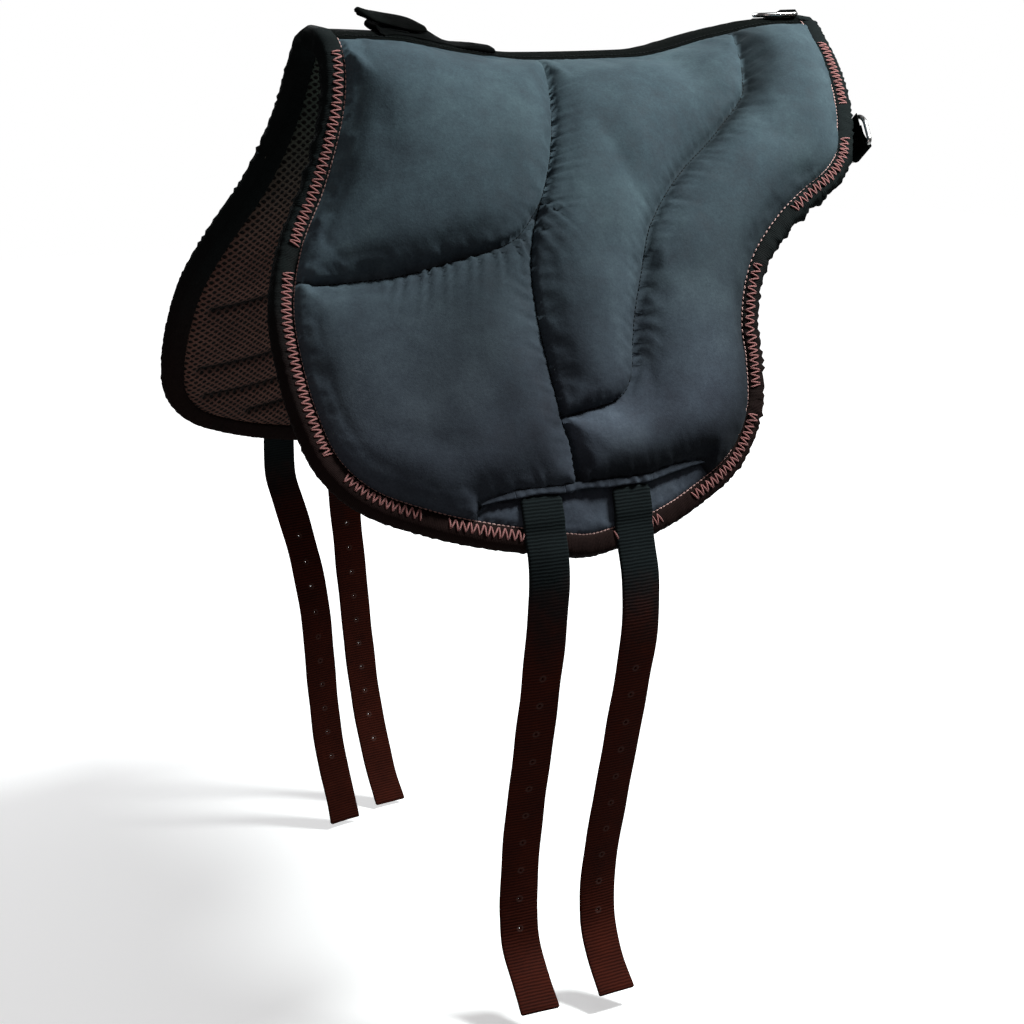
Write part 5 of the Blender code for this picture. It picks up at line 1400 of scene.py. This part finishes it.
def add_grab_strap():
    """The strap over the spine, whose near edge hangs down to the tape, and the tongue on it."""
    table = smooth_path(STRAP_SHARES)
    centres = strap_line(table)
    centres[:, 2] += 0.0012 * np.clip(1 - table[:, 1] / 0.15, 0, 1)
    across, facing = tilted(centres, table[:, 2])
    edge = centres - across * (STRAP_WIDTH / 2 + STRAP_HANG / 2)
    below = DRAPE.lift(np.stack([edge[:, 0], np.abs(edge[:, 1])], axis=1), SEAM_TOP + 0.0014)[:, 2]
    first_pass = np.arange(len(table)) <= table[:, 0].argmin()
    hang = np.clip(edge[:, 2] - below, 0, 0.022) * first_pass
    spread = STRAP_HANG * np.clip(hang / 0.004, 0, 1)
    foot = np.clip((table[:, 0] - 0.72) / 0.12, 0, 1) * first_pass
    centres = centres - across * (spread / 2)[:, None]
    centres[:, 2] += 0.45 * STRAP_THICK * foot
    made = add_strap("grab_strap_webbing", centres, across, facing, STRAP_WIDTH + spread,
                     STRAP_THICK * (1 + 0.9 * foot), STRAP_WEB, crown=0.0004, hang=hang)
    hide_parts("grab_strap")
    table = smooth_path(TONGUE_SHARES)
    centres = strap_line(table)
    across, facing = tilted(centres, table[:, 2])
    facing *= np.sign(facing[:, 2])[:, None]
    centres = centres + facing * (STRAP_THICK / 2 + TONGUE_APART + TONGUE_THICK / 2)
    widths = TONGUE_WIDTH * np.clip(table[:, 3], 0.05, 1)
    thick = TONGUE_THICK * (1 + 1.2 * np.clip(-table[:, 0] / 0.12, 0, 1))
    tongue = add_strap("suede_tongue", centres, across, facing, widths, thick, TONGUE_SUEDE, crown=0.0012)
    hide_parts("grab_tongue")


# Rings and tabs: foot of the tab, along it, across it, off its base, and its side
SIDE_RING = ((0.28977, -0.16091, -0.07666), (0.20586, 0.61304, 0.76276), (-0.03835, -0.77381, 0.63226),
             (0.97783, -0.1594, -0.13578))
SPINE_RING = ((0.3244, 0.0, 0.04786), (-0.9993, 0.0, -0.0375), (0.0, 1.0, 0.0), (-0.0375, 0.0, 0.9993))
RINGS = {"near": (*SIDE_RING, -1), "far": (*SIDE_RING, 1), "spine": (*SPINE_RING, -1)}


def add_ring_and_tab(name):
    """A round-ended wire ring on its bar, and the folded webbing that holds it, sewn down round its edge."""
    foot, along, across, off, side = RINGS[name]
    foot, along, across, off = (np.array(v) for v in (foot, along, across, off))
    flip = mirror(side)
    bar = RING_WIRE / 2 + TAB_EYE_CLEAR + TAB_THICK
    half = RING_SPAN / 2
    corner = RING_CORNER
    reach = RING_REACH - half
    bend = [(half - corner + corner * math.sin(t), corner - corner * math.cos(t)) for t in np.linspace(0.3, 1.57, 5)]
    path = [(x, 0) for x in np.linspace(-half + corner, half - corner, 9)] + bend
    path += [(half * math.cos(t), reach + half * math.sin(t)) for t in np.linspace(0, math.pi, 33)]
    path = np.array(path + [(-x, y) for x, y in bend[::-1]])
    middles = foot + off * bar + path[:, :1] * across + path[:, 1:] * along
    runs = unit(np.roll(middles, -1, axis=0) - np.roll(middles, 1, axis=0))
    turns = 2 * math.pi * np.arange(16) / 16
    outwards = np.cross(runs, off)
    sections = (middles[:, None] + (outwards[:, None] * np.cos(turns)[None, :, None]
                + off * np.sin(turns)[None, :, None]) * RING_WIRE / 2)
    made = add_piece(f"wire_ring_{name}", (sections * flip).reshape(-1, 3), tube(sections, closed=True), WIRE,
                     f"ring_{name}")
    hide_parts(f"ring_{name}")
    loop = RING_WIRE / 2 + TAB_EYE_CLEAR + TAB_THICK / 2
    line = [(TAB_PLATE, 0.0008), (TAB_PLATE - 0.006, 0.0008), (TAB_LOOP, 0.0009), (TAB_EYE, 0.0010),
            (TAB_EYE * 0.5, 0.0009)]
    line += [(loop * math.cos(t), bar + loop * math.sin(t)) for t in np.radians((-90, -130, -180, -230, -262))]
    line += [(TAB_EYE * 0.55, 0.0046), (TAB_EYE, 0.0028), (TAB_EYE + 0.004, 0.0026), (TAB_LOOP, 0.0026)]
    line = smooth_path(line)
    centres = foot + line[:, :1] * along + line[:, 1:] * off
    run = unit(np.gradient(centres, axis=0))
    sides = np.broadcast_to(across, run.shape)
    facing = unit(np.cross(run, sides))
    made = add_strap(f"tab_webbing_{name}", centres * flip, sides * flip, facing * flip, TAB_WIDTH, TAB_THICK * 0.9,
                     STRAP_WEB)
    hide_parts(f"tab_{name}")
    edge = TAB_WIDTH / 2 - 0.003
    marks = np.arange(TAB_EYE + 0.005, TAB_LOOP - 0.003, 0.0030)
    rows = [(s, x, across) for s in (TAB_EYE + 0.0035, TAB_LOOP - 0.002)
            for x in np.arange(-edge, edge + 0.0005, 0.0030)]
    rows += [(s, x, along) for x in (-edge, edge) for s in marks]
    places = np.array([foot + along * s + across * x + off * 0.0036 for s, x, _ in rows])
    ways = np.array([way for _, _, way in rows])
    stitch_rows(f"tab_stitches_{name}", places * flip, ways * flip, np.broadcast_to(off, places.shape) * flip,
                TAB_STITCH, DARK_THREAD)


# Stage

# Lights: name, place, aim, size, power and colour
LIGHTS = (
    ("key", (0.98, -0.62, 1.25), (0.05, -0.1, -0.1), 0.5, 90, (0.95, 1.0, 0.99)),
    ("top", (-0.1, -0.5, 1.9), (0, -0.1, -0.1), 1.2, 6, (0.95, 0.98, 1.0)),
    ("front", (-1.9, -1.0, 0.0), (0, 0, -0.25), 1.2, 3.5, (1.0, 0.80, 0.76)),
    ("back", (0.2, 1.9, 0.9), (0, 0, -0.2), 1.2, 22, (0.95, 0.98, 1.0)),
)


def add_light(name, place, target, size, power, colour):
    data = bpy.data.lights.new(name, "AREA")
    data.shape = "DISK"
    data.size = size
    data.energy = power
    data.color = colour
    lamp = link(bpy.data.objects.new(name, data))
    lamp.location = place
    x, y, z = np.array(target) - np.array(place)
    lamp.rotation_euler = (math.atan2(z, math.hypot(x, y)) + math.pi / 2, 0, math.atan2(y, x) - math.pi / 2)


def add_floor():
    """A pale floor, which the camera sees as white away from the pad's shadow."""
    look = Look("floor", 0.8, specular=0.1)
    seen = look.node("LightPath").outputs["Is Camera Ray"]
    away = look.node("VectorMath", {0: look.place}, operation="LENGTH").outputs["Value"]
    inputs = look.shader.inputs
    look.link(look.times(seen, look.faded(away, 0.9, 2.4, 0.45, 1.0)), inputs["Emission Strength"])
    look.link(look.mixed(seen, (0.30, 0.30, 0.30), (0.80, 0.80, 0.80)), inputs["Base Color"])
    inputs["Emission Color"].default_value = (1, 1, 1, 1)
    level = float(CAD_LOW[2]) - FLOOR_BELOW
    corners = [(x * FLOOR_REACH, y * FLOOR_REACH, level) for x, y in ((-1, -1), (1, -1), (1, 1), (-1, 1))]
    mesh = new_mesh("floor", corners, [(0, 1, 2, 3)])
    mesh.materials.append(look.material)
    link(bpy.data.objects.new("floor", mesh))


def add_world():
    """Soft light from all round, and a white background for the camera alone."""
    world = bpy.data.worlds.new("studio")
    bpy.context.scene.world = world
    world.use_nodes = True
    world.node_tree.nodes.clear()
    sky = Graph(world.node_tree)
    seen = sky.node("Background", {"Color": (1, 1, 1, 1), "Strength": 1.0})
    soft = sky.node("Background", {"Color": (1.0, 0.93, 0.95, 1), "Strength": 0.065})
    camera = sky.node("LightPath").outputs["Is Camera Ray"]
    both = sky.node("MixShader", {0: camera, 1: soft.outputs[0], 2: seen.outputs[0]})
    sky.node("OutputWorld", {0: both.outputs[0]})


def add_stage():
    scene = bpy.context.scene
    data = bpy.data.cameras.new("camera")
    data.lens = CAMERA_LENS
    data.sensor_width = 36
    camera = link(bpy.data.objects.new("camera", data))
    camera.location = CAMERA_PLACE
    camera.rotation_euler = (math.radians(CAMERA_TILT), 0, math.radians(CAMERA_TURN))
    scene.camera = camera
    add_floor()
    add_world()
    for light in LIGHTS:
        add_light(*light)
    scene.view_settings.view_transform = "Standard"


def main():
    flat, faces = flat_mesh(BORDER_LOOP, [PANEL_INNER, *SEAMS.values()], FINE_STEP)
    heights, apart, held = cover_heights(flat, faces)
    heights = add_relief(flat, heights, apart, held)
    top = settled(faces, DRAPE.lift(flat, SEAM_TOP + heights), held, apart)
    for name, side in (("near", -1), ("far", 1)):
        add_cover(name, side, flat, faces, top)
        add_lining(name, side)
        add_binding(name, side)
        add_binding_stitches(name, side)
        add_seam_stitches(name, side)
        add_folds(name, side)
    add_spine_tape()
    add_spine_lining()
    for name in BILLET_SIDES:
        add_billet(name)
    add_grab_strap()
    for name in RINGS:
        add_ring_and_tab(name)
    add_stage()


main()
